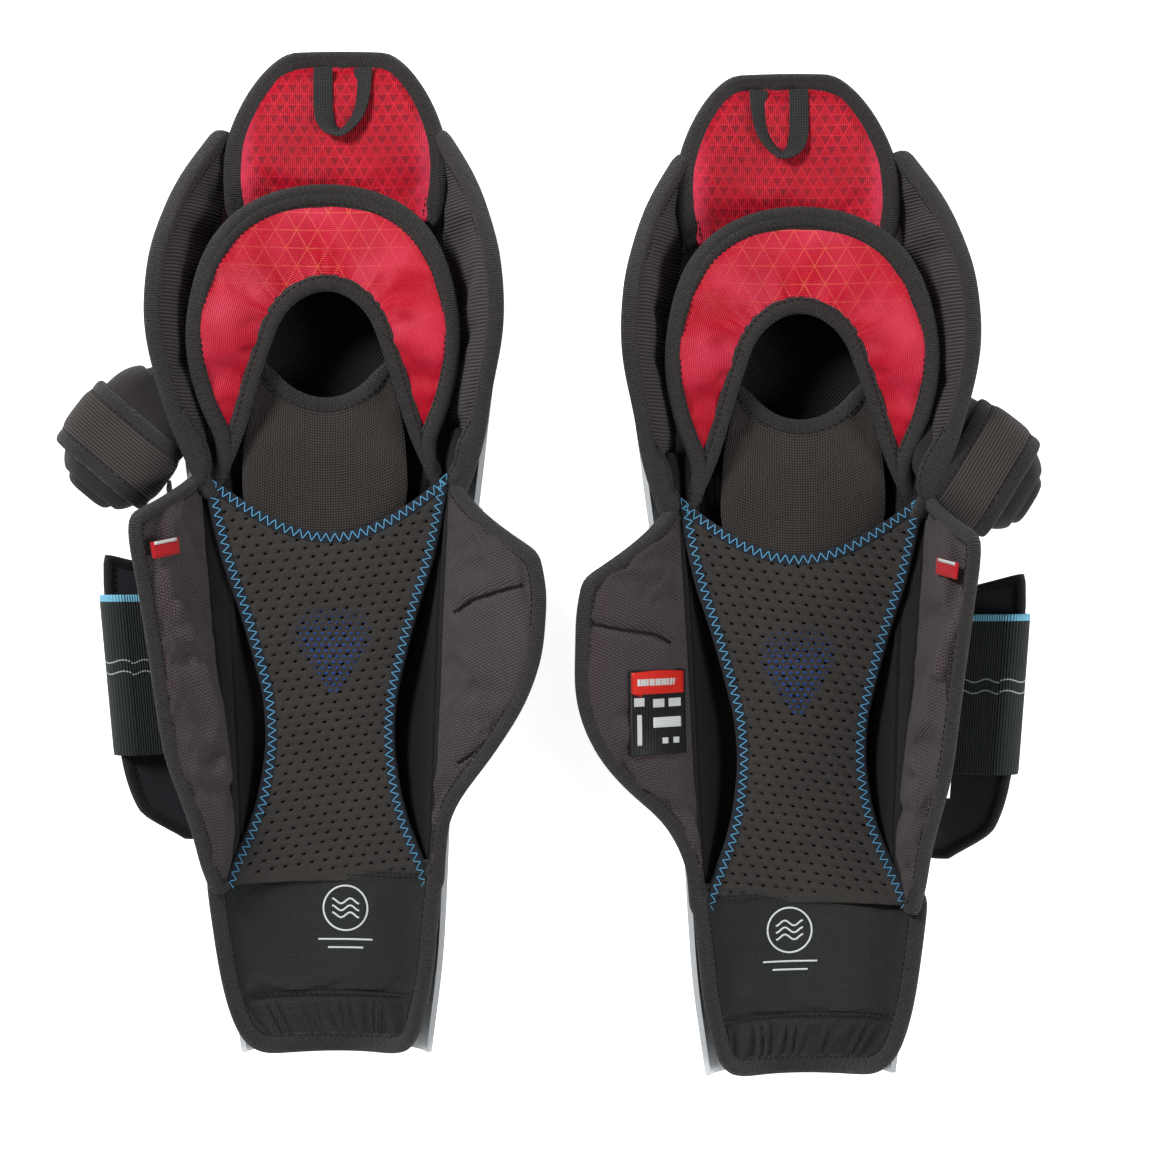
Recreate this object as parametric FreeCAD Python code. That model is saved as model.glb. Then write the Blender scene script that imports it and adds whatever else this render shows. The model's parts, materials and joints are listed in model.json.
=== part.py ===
"""A pair of ice hockey shin guards, lying on their front shells with the leg side up.

Each guard is a plastic shin shell with a pivoting knee cap, a tilting thigh guard, a padded lining
with an elastic sling over it, two padded flaps that close round the calf, and two straps on the
outer side.  One guard is made in its own frame, in millimetres: X across with the outer side of the
leg at -X, Y from the ankle to the thigh, Z up from the floor to the leg.  It is placed as the left
guard, and its mirror image as the right one.  Writes parts/NODE.step, one file for each sub-part.
"""

import FreeCAD
import Part

import math
import os

V = FreeCAD.Vector

# ---------------------------------------------------------------- where the two guards stand
SPACING = 252.0  # between the centre lines of the two guards
RIGHT_DROP = 12.0  # the right guard lies this much nearer the ankle end
RIGHT_TURN = 0.9  # and is turned this many degrees about Z
PAIR_MIDDLE = (-6.83, 267.1)  # the middle of the pair's outline, which the origin is moved to

# ---------------------------------------------------------------- walls: (y, value) stations
SHIN_HALF = ((0, 52), (60, 59), (150, 63), (240, 66), (310, 69))
SHIN_FRONT = ((0, 4), (60, 3), (200, 3), (270, 7.5), (310, 12))
SHIN_RIM = ((0, 48), (100, 54), (200, 58), (310, 64))
SHIN = (SHIN_HALF, SHIN_FRONT, SHIN_RIM)
KNEE_HALF = ((280, 76), (330, 82), (385, 87), (435, 80), (465, 66), (478, 57))
KNEE_FRONT = ((280, 3.2), (320, 3), (385, 3), (430, 5), (465, 12), (478, 17))
KNEE_RIM = ((280, 60), (385, 62), (440, 56), (478, 45))
KNEE = (KNEE_HALF, KNEE_FRONT, KNEE_RIM)

SHELL = 3.0  # plastic wall
PATCH_IN, PATCH_OUT = 3.15, 4.5  # hook patches, as insets from the shell's outer face
LINING_IN = 4.6
LINING_OUT = 10.8

SHIN_TOP = 300.0
SHIN_WRAP = 84.0  # degrees each way from the front line
LINING_WRAP = 80.0
LINING_FROM = 6.0
CAP_FROM, CAP_TO = 280.0, 478.0
CAP_WRAP = 86.0
CUP_FROM, CUP_TO = 318.0, 470.0
CUP_WRAP = 62.0

# ---------------------------------------------------------------- joints
PIVOT_Y, PIVOT_Z = 291.0, 47.0  # knee cap pivot
PIN_R, PIN_PLAY = 3.0, 0.06
PIN_IN, PIN_OUT = 59.2, 77.6  # |x| of the undersides of a pin's two heads
THIGH_Y, THIGH_Z = 450.0, 44.0  # thigh guard's fold
FLAP_ROOT_X = ((20, 46), (60, 50), (150, 54.5), (240, 58), (302, 61))
FLAP_ROOT_Z = ((20, 50), (100, 55), (200, 59), (302, 63))
WING_ROOT = ((-66.8, 36.5), (-67.6, 37.5))  # (x, z) of the strap wing's root at its two ends

# ---------------------------------------------------------------- leg side
SLING_HALF = ((101, 46), (116, 42), (148, 33), (180, 30.6), (223, 37), (266, 48), (304, 56))
SLING_Z = ((101, 30), (180, 36), (272, 46), (304, 47))
SLING_BOW = ((101, 0.009), (180, 0.0045), (304, 0.0047))
SLING_FROM, SLING_DIP, SLING_RISE = 101.0, 272.0, 32.0
SLING_THICK = 2.2
PANEL_Z, PANEL_BOW, PANEL_THICK = 28.0, 0.009, 5.0
PANEL_HALF = ((6, 40), (28, 41), (98, 45))
TONGUE_HALF = ((262, 30), (285, 42), (305, 45), (325, 43), (345, 36), (366, 31))
TONGUE_Z = ((262, 34), (285, 39), (320, 47), (366, 50))
TONGUE_FROM, TONGUE_DIP, TONGUE_RISE = 262.0, 350.0, 14.0
BOW = 0.0045  # rise of a pad across its width, per mm squared

# horseshoe cushion round the knee hollow, by angle from the thigh end
HORSE_CENTRE, HORSE_HALF, HORSE_UP, HORSE_DOWN = 385.0, 72.0, 82.0, 75.0
HOLE_CENTRE, HOLE_HALF, HOLE_UP = 378.0, 32.0, 34.0
HORSE_SPAN = 140.0  # degrees each way
HORSE_Z = ((326, 52), (360, 60), (400, 66), (468, 65))
HORSE_THICK = 15.0

# knee wings, outer edge and root
KWING_EDGE_X = ((316, 71), (346, 83), (398, 93), (426, 91), (446, 86), (466, 79), (495, 63))
KWING_EDGE_Z = ((316, 74), (346, 92), (398, 106), (426, 103), (446, 94), (466, 82), (495, 59))
KWING_ROOT_X = ((316, 64), (346, 69.5), (398, 73), (435, 68), (456, 66), (495, 58))
KWING_ROOT_Z = ((316, 46), (398, 42), (435, 44), (456, 54), (495, 52))
KWING_THICK = 8.0

# thigh guard
THIGH_FROM, THIGH_TO = 447.0, 535.0
THIGH_HALF = ((447, 54), (480, 53), (495, 50), (510, 45), (525, 37), (535, 28))
THIGH_THICK = 12.0
THIGH_PLATE_DROP = 10.0  # of the plate's middle below the pad's
LOOP_FROM, LOOP_TO, LOOP_Z = 496.0, 526.0, 52.6
LOOP_OUT, LOOP_IN = 13.0, 5.5

# calf flaps: width across the flap
INNER_FLAP_WIDE = ((20, 9), (83, 9), (110, 13), (142, 30), (169, 52), (196, 70), (223, 79), (244, 80),
                   (271, 70), (302, 44))
OUTER_FLAP_WIDE = ((20, 9), (60, 12), (83, 18), (121, 34), (174, 50), (217, 61), (260, 66), (285, 66),
                   (302, 56))
FLAP_FROM, FLAP_TO = 20.0, 302.0
FLAP_THICK = 9.0
INNER_TOP_DROP, OUTER_TOP_DROP = 34.0, 16.0  # how far the top edge falls from root to tip
FLAP_LEAN = {  # degrees up from the floor
    "left": {"inner": 48.0, "outer": 62.0},
    "right": {"inner": 42.0, "outer": 69.0},
}
LABEL_ALONG, LABEL_ACROSS = (0.585, 0.753), (0.12, 0.6)  # size label, as shares of the inner flap
TAG_ALONG, TAG_ACROSS = (0.93, 0.96), (0.58, 0.8)  # side tag, as shares of the outer flap
PLATE_ALONG, PLATE_ACROSS = (0.42, 0.92), (0.3, 0.82)  # stiffener behind the inner flap
FLAP_CURL = 22.0  # a flap leans this much more steeply at its root than at its edge

# outer side: strap wing, calf strap and knee strap
WING_FROM, WING_TO = 118.0, 254.0
WING_WIDE = ((118, 18), (135, 46), (163, 56), (200, 61), (254, 66))
WING_RISE = 14.0  # how much further its top edge reaches at the tip than at the root
WING_TILT = 38.0
WING_THICK = 3.2
STRAP_FROM, STRAP_TO = 154.0, 240.0
STRAP_WALL = 2.2
STRAP_CENTRE, STRAP_LEAN = 43.0, 4.0  # along the wing from its root, and the change in that to either end
STRAP_HALF, STRAP_HIGH = 22.0, 9.0
STRAP_CLEAR = 2.5  # each side of the strap in the wing's slot
ROLL = {  # middle, plan direction of the band's length and of its width
    "left": ((-116.0, 328.0, 64.0), -40.0, 252.0),
    "right": ((-110.0, 328.0, 66.0), -52.0, 244.0),
}
ROLL_OUTER = (32.0, 19.0, 5.0, 38.0)  # half length, half height, wall and width of the outer turn
ROLL_INNER = (26.0, 13.4, 4.5, 52.0)
TAIL_START, TAIL_HALF = (-76.5, 266.0, 46.0), 7.0  # the strap's tail at its keeper, and half its width


# ---------------------------------------------------------------- small maths
def through(stations, y):
    """The value at y on a smooth curve through (y, value) stations that never overshoots them."""
    xs = [float(a) for a, _ in stations]
    vs = [float(b) for _, b in stations]
    if y <= xs[0]:
        return vs[0]
    if y >= xs[-1]:
        return vs[-1]
    slopes = [(vs[i + 1] - vs[i]) / (xs[i + 1] - xs[i]) for i in range(len(xs) - 1)]
    tangents = [slopes[0]]
    for a, b in zip(slopes, slopes[1:]):
        tangents.append(0.0 if a * b <= 0 else 2 * a * b / (a + b))
    tangents.append(slopes[-1])
    i = max(k for k in range(len(xs) - 1) if xs[k] <= y)
    h = xs[i + 1] - xs[i]
    t = (y - xs[i]) / h
    return (
        vs[i] * (1 + 2 * t) * (1 - t) ** 2
        + tangents[i] * h * t * (1 - t) ** 2
        + vs[i + 1] * t * t * (3 - 2 * t)
        + tangents[i + 1] * h * t * t * (t - 1)
    )


def mix(a, b, t):
    return a + (b - a) * t


def ease(t):
    t = max(0.0, min(1.0, t))
    return t * t * (3 - 2 * t)


def wall(tables, y, degrees, inset):
    """A point on a U-shaped wall: 0 degrees is its front line near the floor, and 90 its upright side."""
    half, front, rim = (through(table, y) for table in tables)
    a = math.radians(degrees)
    return V((half - inset) * math.sin(a), y, rim - (rim - front - inset) * math.cos(a))


# ---------------------------------------------------------------- solids
def surface(point, ns, nt):
    made = Part.BSplineSurface()
    made.interpolate([[V(point(i / (ns - 1), j / (nt - 1))) for j in range(nt)] for i in range(ns)])
    return made


def slab(upper, lower, ns=11, nt=9):
    """The solid between two surfaces over the same unit square, closed by four ruled sides."""
    a, b = surface(upper, ns, nt), surface(lower, ns, nt)
    u0, u1, v0, v1 = a.bounds()
    p0, p1, q0, q1 = b.bounds()
    rims = [(a.uIso(u0), b.uIso(p0)), (a.uIso(u1), b.uIso(p1))]
    rims += [(a.vIso(v0), b.vIso(q0)), (a.vIso(v1), b.vIso(q1))]
    sides = [Part.makeRuledSurface(c.toShape(), d.toShape()) for c, d in rims]
    faces = [a.toShape(), b.toShape()] + sides
    shell = Part.makeShell(faces)
    shell.sewShape()
    solid = Part.makeSolid(shell)
    if solid.Volume < 0:
        solid.reverse()
    return solid


def layer(tables, y_from, y_to, low, high, outer, inner, ns=11, nt=13):
    """A wall's solid between two insets, from one angle to another.

    An inset is a number or a function of (y, degrees).
    """
    def side(inset):
        def point(s, t):
            y, degrees = mix(y_from, y_to, s), mix(low, high, t)
            return wall(tables, y, degrees, inset(y, degrees) if callable(inset) else inset)
        return point
    return slab(side(outer), side(inner), ns, nt)


def pad(middle, thickness, ns=11, nt=9):
    """A solid of the given thickness either side of a middle surface, measured along its normal."""
    step = 1e-3

    def face(sign):
        def point(s, t):
            ds = V(middle(min(1, s + step), t)).sub(V(middle(max(0, s - step), t)))
            dt = V(middle(s, min(1, t + step))).sub(V(middle(s, max(0, t - step))))
            normal = ds.cross(dt).normalize()
            if normal.z < 0 or (abs(normal.z) < 1e-6 and normal.x < 0):
                normal = normal.negative()
            thick = thickness(s, t) if callable(thickness) else thickness
            return V(middle(s, t)).add(normal.multiply(sign * thick / 2))
        return point
    return slab(face(1), face(-1), ns, nt)


def rounded(most, least):
    """A thickness that is full in the middle of a pad and thin at its edges."""
    def thickness(s, t):
        edge = min(ease(4 * s), ease(4 * (1 - s)), ease(4 * t), ease(4 * (1 - t)))
        return mix(least, most, edge)
    return thickness


def across_wall(tables, y, degrees):
    """A point on a wall's outer face, and the direction out of it."""
    half, front, rim = (through(table, y) for table in tables)
    a = math.radians(degrees)
    out = V(math.sin(a) / half, 0, -math.cos(a) / (rim - front)).normalize()
    return wall(tables, y, degrees, 0), out


def slot_cut(tables, y, degrees, length, width):
    """A tool for cutting a round-ended slot along Y through a wall."""
    reach = 9.0
    at, out = across_wall(tables, y, degrees)
    across = out.cross(V(0, 1, 0)).normalize()
    start = at.sub(V(out).multiply(reach))
    along = V(0, (length - width) / 2, 0)
    side = V(across).multiply(width / 2)
    corners = [start.add(along).add(side), start.add(along).sub(side)]
    corners += [start.sub(along).sub(side), start.sub(along).add(side)]
    tool = Part.Face(Part.makePolygon(corners + corners[:1])).extrude(V(out).multiply(2 * reach))
    for end in (start.add(along), start.sub(along)):
        tool = tool.fuse(Part.makeCylinder(width / 2, 2 * reach, end, out))
    return tool


def rivet(tables, y, degrees, stand, shank_r=2.0, head_r=4.2):
    """A domed rivet through a wall, its head resting this far out of the wall's outer face."""
    at, out = across_wall(tables, y, degrees)
    head = 1.6
    seat = at.add(V(out).multiply(stand + 0.05))
    shank = Part.makeCylinder(shank_r, SHELL + stand, at.sub(V(out).multiply(SHELL)), out)
    cap = Part.makeCone(head_r, head_r * 0.6, head, seat, out)
    neck = Part.makeCylinder(shank_r, 0.2, at.add(V(out).multiply(stand - 0.1)), out)
    return shank.fuse([neck, cap]).removeSplitter()


def rivet_hole(tables, y, degrees, reach=6.0):
    at, out = across_wall(tables, y, degrees)
    return Part.makeCylinder(2.1, 2 * reach, at.sub(V(out).multiply(reach)), out)


def stadium(half_long, half_high):
    """A closed wire of two straights and two half rounds, long along X, in the XZ plane."""
    flat = half_long - half_high
    top = Part.makeLine(V(-flat, 0, half_high), V(flat, 0, half_high))
    right = Part.Arc(V(flat, 0, half_high), V(half_long, 0, 0), V(flat, 0, -half_high)).toShape()
    bottom = Part.makeLine(V(flat, 0, -half_high), V(-flat, 0, -half_high))
    left = Part.Arc(V(-flat, 0, -half_high), V(-half_long, 0, 0), V(-flat, 0, half_high)).toShape()
    return Part.Wire([top, right, bottom, left])


def band(half_long, half_high, thick, start, turn, run):
    """A band bent into a closed loop round the point start, its width along the vector run."""
    outside = Part.Face(stadium(half_long, half_high))
    ring = outside.cut(Part.Face(stadium(half_long - thick, half_high - thick))).Faces[0]
    ring.Placement = FreeCAD.Placement(start, turn)
    return ring.extrude(run)


# ---------------------------------------------------------------- shin body
RIDGE_FROM, RIDGE_TO, RIDGE_HALF, RIDGE_FLAT, RIDGE_GAP = 28.0, 266.0, 9.0, 6.5, 0.3
GROOVE_AT, GROOVE_WIDE, GROOVE_DEEP = 36.0, 6.0, 1.1
SHIN_VENTS = (70.0, 112.0, 154.0, 196.0, 238.0)
VENT_LONG, VENT_WIDE = 24.0, 4.6
TAB_YS = (150.0, 222.0)  # hinge tabs of the strap wing
TAB_LOW, TAB_HIGH = 52.0, 68.0
TAB_RIVET = 58.0
KEEPER_RIVETS = ((262.5, 66.0), (273.5, 66.0))


def shin_relief(y, degrees):
    """How deep the outer face is sunk: two long grooves that fade out at both ends."""
    fade = ease((y - 30) / 30) * ease((282 - y) / 30)
    return GROOVE_DEEP * fade * math.exp(-(((abs(degrees) - GROOVE_AT) / GROOVE_WIDE) ** 2))


def pin_hole(radius=PIN_R + PIN_PLAY):
    return Part.makeCylinder(radius, 200, V(-100, PIVOT_Y, PIVOT_Z), V(1, 0, 0))


def shin_shell():
    shell = layer(SHIN, 0, SHIN_TOP, -SHIN_WRAP, SHIN_WRAP, shin_relief, SHELL, 21, 43)
    tools = [slot_cut(SHIN, y, -GROOVE_AT, VENT_LONG, VENT_WIDE) for y in SHIN_VENTS]
    tools += [slot_cut(SHIN, y, GROOVE_AT, VENT_LONG, VENT_WIDE) for y in SHIN_VENTS]
    tools += [rivet_hole(SHIN, y + 6, -TAB_RIVET) for y in TAB_YS]
    tools += [rivet_hole(SHIN, y, -degrees) for y, degrees in KEEPER_RIVETS]
    tools.append(pin_hole())
    return shell.cut(tools)


def shin_ridge():
    """A flat-faced wear strip along the front line, which the guard lies on."""
    def floor_face(s, t):
        return V(mix(-RIDGE_FLAT, RIDGE_FLAT, t), mix(RIDGE_FROM + 2, RIDGE_TO - 2, s), 0)

    def shell_face(s, t):
        x, y = mix(-RIDGE_HALF, RIDGE_HALF, t), mix(RIDGE_FROM, RIDGE_TO, s)
        half, front, rim = (through(table, y) for table in SHIN)
        return V(x, y, rim - (rim - front) * math.sqrt(1 - (x / half) ** 2) - RIDGE_GAP)
    return slab(floor_face, shell_face, 11, 5)


def shin_lining():
    lining = layer(SHIN, LINING_FROM, SHIN_TOP, -LINING_WRAP, LINING_WRAP, LINING_IN, LINING_OUT, 11, 17)
    return lining.cut(pin_hole(6.5))


def shin_patches():
    """Hook patches that hold the lining in the shell."""
    solids = []
    for y in (30.0, 130.0, 235.0):
        for low, high in ((-62, -46), (46, 62)):
            solids.append(layer(SHIN, y, y + 34, low, high, PATCH_IN, PATCH_OUT, 4, 4))
    return Part.makeCompound(solids)


def knee_pins():
    """Two shouldered pins through the shin shell and the knee cap."""
    pins = []
    for side in (-1, 1):
        inner_seat, outer_seat = V(side * PIN_IN, PIVOT_Y, PIVOT_Z), V(side * PIN_OUT, PIVOT_Y, PIVOT_Z)
        shank = Part.makeCylinder(PIN_R, PIN_OUT - PIN_IN, inner_seat, V(side, 0, 0))
        inner = Part.makeCone(5.0, 4.0, 1.6, inner_seat, V(-side, 0, 0))
        outer = Part.makeCone(6.0, 4.2, 2.0, outer_seat, V(side, 0, 0))
        pins.append(shank.fuse([inner, outer]).removeSplitter())
    return Part.makeCompound(pins)


def sling_z(x, y):
    return through(SLING_Z, y) + through(SLING_BOW, y) * x * x


def air_sling():
    """The stretched, perforated sheet that carries the shin clear of the shell."""
    def middle(s, t):
        side = 2 * t - 1
        top = SLING_DIP + SLING_RISE * side * side
        y = mix(SLING_FROM, top, s)
        x = side * through(SLING_HALF, y)
        return V(x, y, sling_z(x, y))
    return pad(middle, SLING_THICK, 17, 9)


def panel(y_from, y_to, lift, thick):
    def middle(s, t):
        y = mix(y_from, y_to, s)
        x = (2 * t - 1) * through(PANEL_HALF, y)
        return V(x, y, PANEL_Z + lift + PANEL_BOW * x * x)
    return pad(middle, thick, 7, 9)


def tongue():
    def middle(s, t):
        side = 2 * t - 1
        y = mix(TONGUE_FROM, TONGUE_DIP + TONGUE_RISE * side * side, s)
        x = side * through(TONGUE_HALF, y)
        return V(x, y, through(TONGUE_Z, y) + BOW * x * x)
    return pad(middle, lambda s, t: mix(3.0, 9.0, 1 - (2 * t - 1) ** 2), 13, 9)


def strap_anchors():
    """Plates riveted to the shell: two tabs that hinge the strap wing, and the knee strap's keeper."""
    solids = []
    for y in TAB_YS:
        tab = layer(SHIN, y, y + 12, -TAB_HIGH, -TAB_LOW, -1.7, -0.2, 4, 5)
        solids.append(tab.cut(rivet_hole(SHIN, y + 6, -TAB_RIVET)))
    keeper = layer(SHIN, 258, 278, -72, -58, -1.7, -0.2, 4, 5)
    solids.append(keeper.cut([rivet_hole(SHIN, y, -degrees) for y, degrees in KEEPER_RIVETS]))
    return Part.makeCompound(solids)


def shell_rivets():
    rivets = [rivet(SHIN, y + 6, -TAB_RIVET, 2.1) for y in TAB_YS]
    rivets += [rivet(SHIN, y, -degrees, 2.1, head_r=3.4) for y, degrees in KEEPER_RIVETS]
    return Part.makeCompound(rivets)


# ---------------------------------------------------------------- flaps
def flap_root(y, side):
    """A point on the line that a flap folds along; side is -1 for the outer flap and 1 for the inner."""
    return V(side * through(FLAP_ROOT_X, y), y, through(FLAP_ROOT_Z, y))


def flap_point(s, t, side, lean, wide, drop, gap=1.5):
    """A point on a flap's middle surface: s from ankle to knee, t from the root to the free edge."""
    y = mix(FLAP_FROM, FLAP_TO - drop * t, s)
    run = through(wide, y) * t + gap
    turn = math.radians(lean + FLAP_CURL * (0.5 - 0.5 * t))
    root = flap_root(y, side)
    return V(root.x + side * run * math.cos(turn), y, root.z + run * math.sin(turn))


def flap_thick(s, t):
    return mix(3.6, FLAP_THICK, min(ease(t / 0.3), ease((1 - t) / 0.25 + 0.2), ease(s / 0.12 + 0.2)))


def outer_flap(lean):
    return pad(lambda s, t: flap_point(s, t, -1, lean, OUTER_FLAP_WIDE, OUTER_TOP_DROP), flap_thick, 21, 9)


def inner_flap(lean):
    return pad(lambda s, t: flap_point(s, t, 1, lean, INNER_FLAP_WIDE, INNER_TOP_DROP), flap_thick, 25, 9)


def on_flap(side, lean, wide, drop, s_range, t_range, lift, thick):
    """A thin piece lying on the leg side of a flap."""
    def middle(s, t):
        a, b = mix(*s_range, s), mix(*t_range, t)
        step = 1e-3
        here = flap_point(a, b, side, lean, wide, drop)
        ds = flap_point(a + step, b, side, lean, wide, drop).sub(here)
        dt = flap_point(a, b + step, side, lean, wide, drop).sub(here)
        normal = ds.cross(dt).normalize()
        if normal.z < 0:
            normal = normal.negative()
        return here.add(normal.multiply(flap_thick(a, b) / 2 + lift))
    return pad(middle, thick, 5, 5)


def inner_flap_plate(lean):
    """A plastic stiffener on the far side of the inner flap."""
    lift = -FLAP_THICK - 1.1
    return on_flap(1, lean, INNER_FLAP_WIDE, INNER_TOP_DROP, PLATE_ALONG, PLATE_ACROSS, lift, 1.8)


def side_tag(lean):
    return on_flap(-1, lean, OUTER_FLAP_WIDE, OUTER_TOP_DROP, TAG_ALONG, TAG_ACROSS, 0.7, 0.8)


def size_label(lean):
    return on_flap(1, lean, INNER_FLAP_WIDE, INNER_TOP_DROP, LABEL_ALONG, LABEL_ACROSS, 0.7, 0.8)


# ---------------------------------------------------------------- knee body
CAP_VENTS = ((350.0, 30.0), (395.0, 33.0), (350.0, 50.0), (395.0, 53.0), (432.0, 36.0))
BUMPER_HALF, BUMPER_FLAT = (15.0, 27.0), (12.0, 24.0)
BUMPER_Y = 375.0


def cap_relief(y, degrees):
    """The middle of the cap stands proud in a smooth oval."""
    oval = math.hypot(degrees / 34.0, (y - 375.0) / 72.0)
    return -1.1 * ease((1.15 - oval) / 0.3)


def knee_cap():
    cap = layer(KNEE, CAP_FROM, CAP_TO, -CAP_WRAP, CAP_WRAP, cap_relief, SHELL, 25, 31)
    tools = [slot_cut(KNEE, y, side * degrees, 22.0, 4.6) for y, degrees in CAP_VENTS for side in (-1, 1)]
    return cap.cut(tools + [pin_hole()])


def knee_bumper():
    """A flat-faced oval pad at the front of the cap, level with the ridge."""
    def oval(half, z):
        centre, high, wide = V(0, BUMPER_Y, z), V(0, BUMPER_Y + half[1], z), V(half[0], BUMPER_Y, z)
        return Part.Wire(Part.Ellipse(high, wide, centre).toShape())
    return Part.makeLoft([oval(BUMPER_FLAT, 0.0), oval(BUMPER_HALF, 1.7)], True, True)


def cup_lining():
    return layer(KNEE, CUP_FROM, CUP_TO, -CUP_WRAP, CUP_WRAP, LINING_IN, LINING_OUT, 11, 15)


def horse_rims(degrees):
    """The inner and outer edge of the horseshoe cushion at an angle from the thigh end, as (x, y) pairs."""
    a = math.radians(degrees)
    reach = HORSE_UP if abs(degrees) < 90 else HORSE_DOWN
    outer = (HORSE_HALF * math.sin(a), HORSE_CENTRE + reach * math.cos(a))
    hole = (HOLE_HALF * math.sin(a), HOLE_CENTRE + HOLE_UP * math.cos(a))
    close = 0.9 * ease((abs(degrees) - 78) / 62)
    return (mix(hole[0], outer[0], close), mix(hole[1], outer[1], close)), outer


def horse_point(degrees, t):
    inner, outer = horse_rims(degrees)
    x, y = mix(inner[0], outer[0], t), mix(inner[1], outer[1], t)
    return V(x, y, through(HORSE_Z, y) + BOW * x * x)


def horse_thick(s, t):
    ends = min(ease(s / 0.22), ease((1 - s) / 0.22))
    return mix(5.0, mix(5.0, HORSE_THICK, ends), math.sin(math.pi * t) ** 0.7)


def knee_cushion():
    def middle(s, t):
        return horse_point(mix(-HORSE_SPAN, HORSE_SPAN, s), t)
    return pad(middle, horse_thick, 29, 9)


def cushion_base():
    """Foam that fills the room between the cushion and the cup lining, round the knee hollow."""
    span, near, far, gap = 104.0, 0.06, 0.5, 1.2

    def top(s, t):
        degrees, across = mix(-span, span, s), mix(near, far, t)
        at = horse_point(degrees, across)
        whole = (degrees / HORSE_SPAN + 1) / 2
        return V(at.x, at.y, at.z - horse_thick(whole, across) / 2 - gap)

    def bottom(s, t):
        at = horse_point(mix(-span, span, s), mix(near, far, t))
        half, front, rim = (through(table, at.y) for table in KNEE)
        share = min(0.9, abs(at.x) / (half - LINING_OUT))
        return V(at.x, at.y, rim - (rim - front - LINING_OUT) * math.sqrt(1 - share * share) + gap)
    return slab(top, bottom, 19, 7)


def knee_wing(side):
    """A padded wing that stands up from the cap beside the knee."""
    def middle(s, t):
        y = mix(316, 495, s)
        x = mix(through(KWING_ROOT_X, y), through(KWING_EDGE_X, y), t)
        return V(side * x, y, mix(through(KWING_ROOT_Z, y), through(KWING_EDGE_Z, y), t))
    ends = rounded(KWING_THICK, 4.0)
    return pad(middle, lambda s, t: ends(s, 0.5), 17, 7)


# ---------------------------------------------------------------- thigh body
def thigh_middle(s, t, shrink, drop, y_from, y_to):
    y = mix(y_from, y_to, s)
    x = (2 * t - 1) * (through(THIGH_HALF, y) - shrink)
    return V(x, y, THIGH_Z - drop + BOW * x * x)


def thigh_pad():
    return pad(lambda s, t: thigh_middle(s, t, 0, 0, THIGH_FROM, THIGH_TO), rounded(THIGH_THICK, 6.0), 13, 11)


def thigh_plate():
    return pad(lambda s, t: thigh_middle(s, t, 5, THIGH_PLATE_DROP, 458, 528), 2.4, 9, 9)


def thigh_webs():
    """Two webbing strips that hang the thigh guard from the knee cap's lining."""
    strips = []
    for x in (-37.0, 19.0):
        def middle(s, t, near=x):
            across = near + 18 * t
            return V(across, mix(444, 474, s), 31 + BOW * across * across)
        strips.append(pad(middle, 1.4, 4, 4))
    return Part.makeCompound(strips)


def pull_loop():
    """A flat webbing loop, folded at its lower end."""
    turn = LOOP_FROM + LOOP_OUT
    outer = [Part.makeLine(V(-LOOP_OUT, LOOP_TO, 0), V(-LOOP_OUT, turn, 0)),
             Part.Arc(V(-LOOP_OUT, turn, 0), V(0, LOOP_FROM, 0), V(LOOP_OUT, turn, 0)).toShape(),
             Part.makeLine(V(LOOP_OUT, turn, 0), V(LOOP_OUT, LOOP_TO, 0)),
             Part.makeLine(V(LOOP_OUT, LOOP_TO, 0), V(LOOP_IN, LOOP_TO, 0)),
             Part.makeLine(V(LOOP_IN, LOOP_TO, 0), V(LOOP_IN, turn, 0)),
             Part.Arc(V(LOOP_IN, turn, 0), V(0, turn - LOOP_IN, 0), V(-LOOP_IN, turn, 0)).toShape(),
             Part.makeLine(V(-LOOP_IN, turn, 0), V(-LOOP_IN, LOOP_TO, 0)),
             Part.makeLine(V(-LOOP_IN, LOOP_TO, 0), V(-LOOP_OUT, LOOP_TO, 0))]
    flat = Part.Face(Part.Wire(outer)).extrude(V(0, 0, 1.4))
    flat.translate(V(0, 0, LOOP_Z))
    return flat


# ---------------------------------------------------------------- outer side
def wing_axis():
    """The two ends of the strap wing's root line, and the unit direction out from it."""
    (xa, za), (xb, zb) = WING_ROOT
    tilt = math.radians(WING_TILT)
    return V(xa, WING_FROM, za), V(xb, WING_TO, zb), V(-math.cos(tilt), 0, math.sin(tilt))


def wing_point(s, t):
    low, high, out = wing_axis()
    y = mix(WING_FROM, WING_TO + WING_RISE * t, s)
    root = V(mix(low.x, high.x, s), y, mix(low.z, high.z, s))
    return root.add(V(out).multiply(through(WING_WIDE, y) * t))


def strap_run():
    """Where the calf strap's loop starts, the run of its width along the wing, and the way out of it."""
    low, high, out = wing_axis()
    start = V(low.x, STRAP_FROM, low.z).add(V(out).multiply(STRAP_CENTRE - STRAP_LEAN))
    end = V(high.x, STRAP_TO, high.z).add(V(out).multiply(STRAP_CENTRE + STRAP_LEAN))
    return start, end.sub(start), out


def calf_strap():
    """A wide elastic band looped round the strap wing's outer bar."""
    start, run, out = strap_run()
    return band(STRAP_HALF, STRAP_HIGH, STRAP_WALL, start, FreeCAD.Rotation(V(1, 0, 0), out), run)


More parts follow.
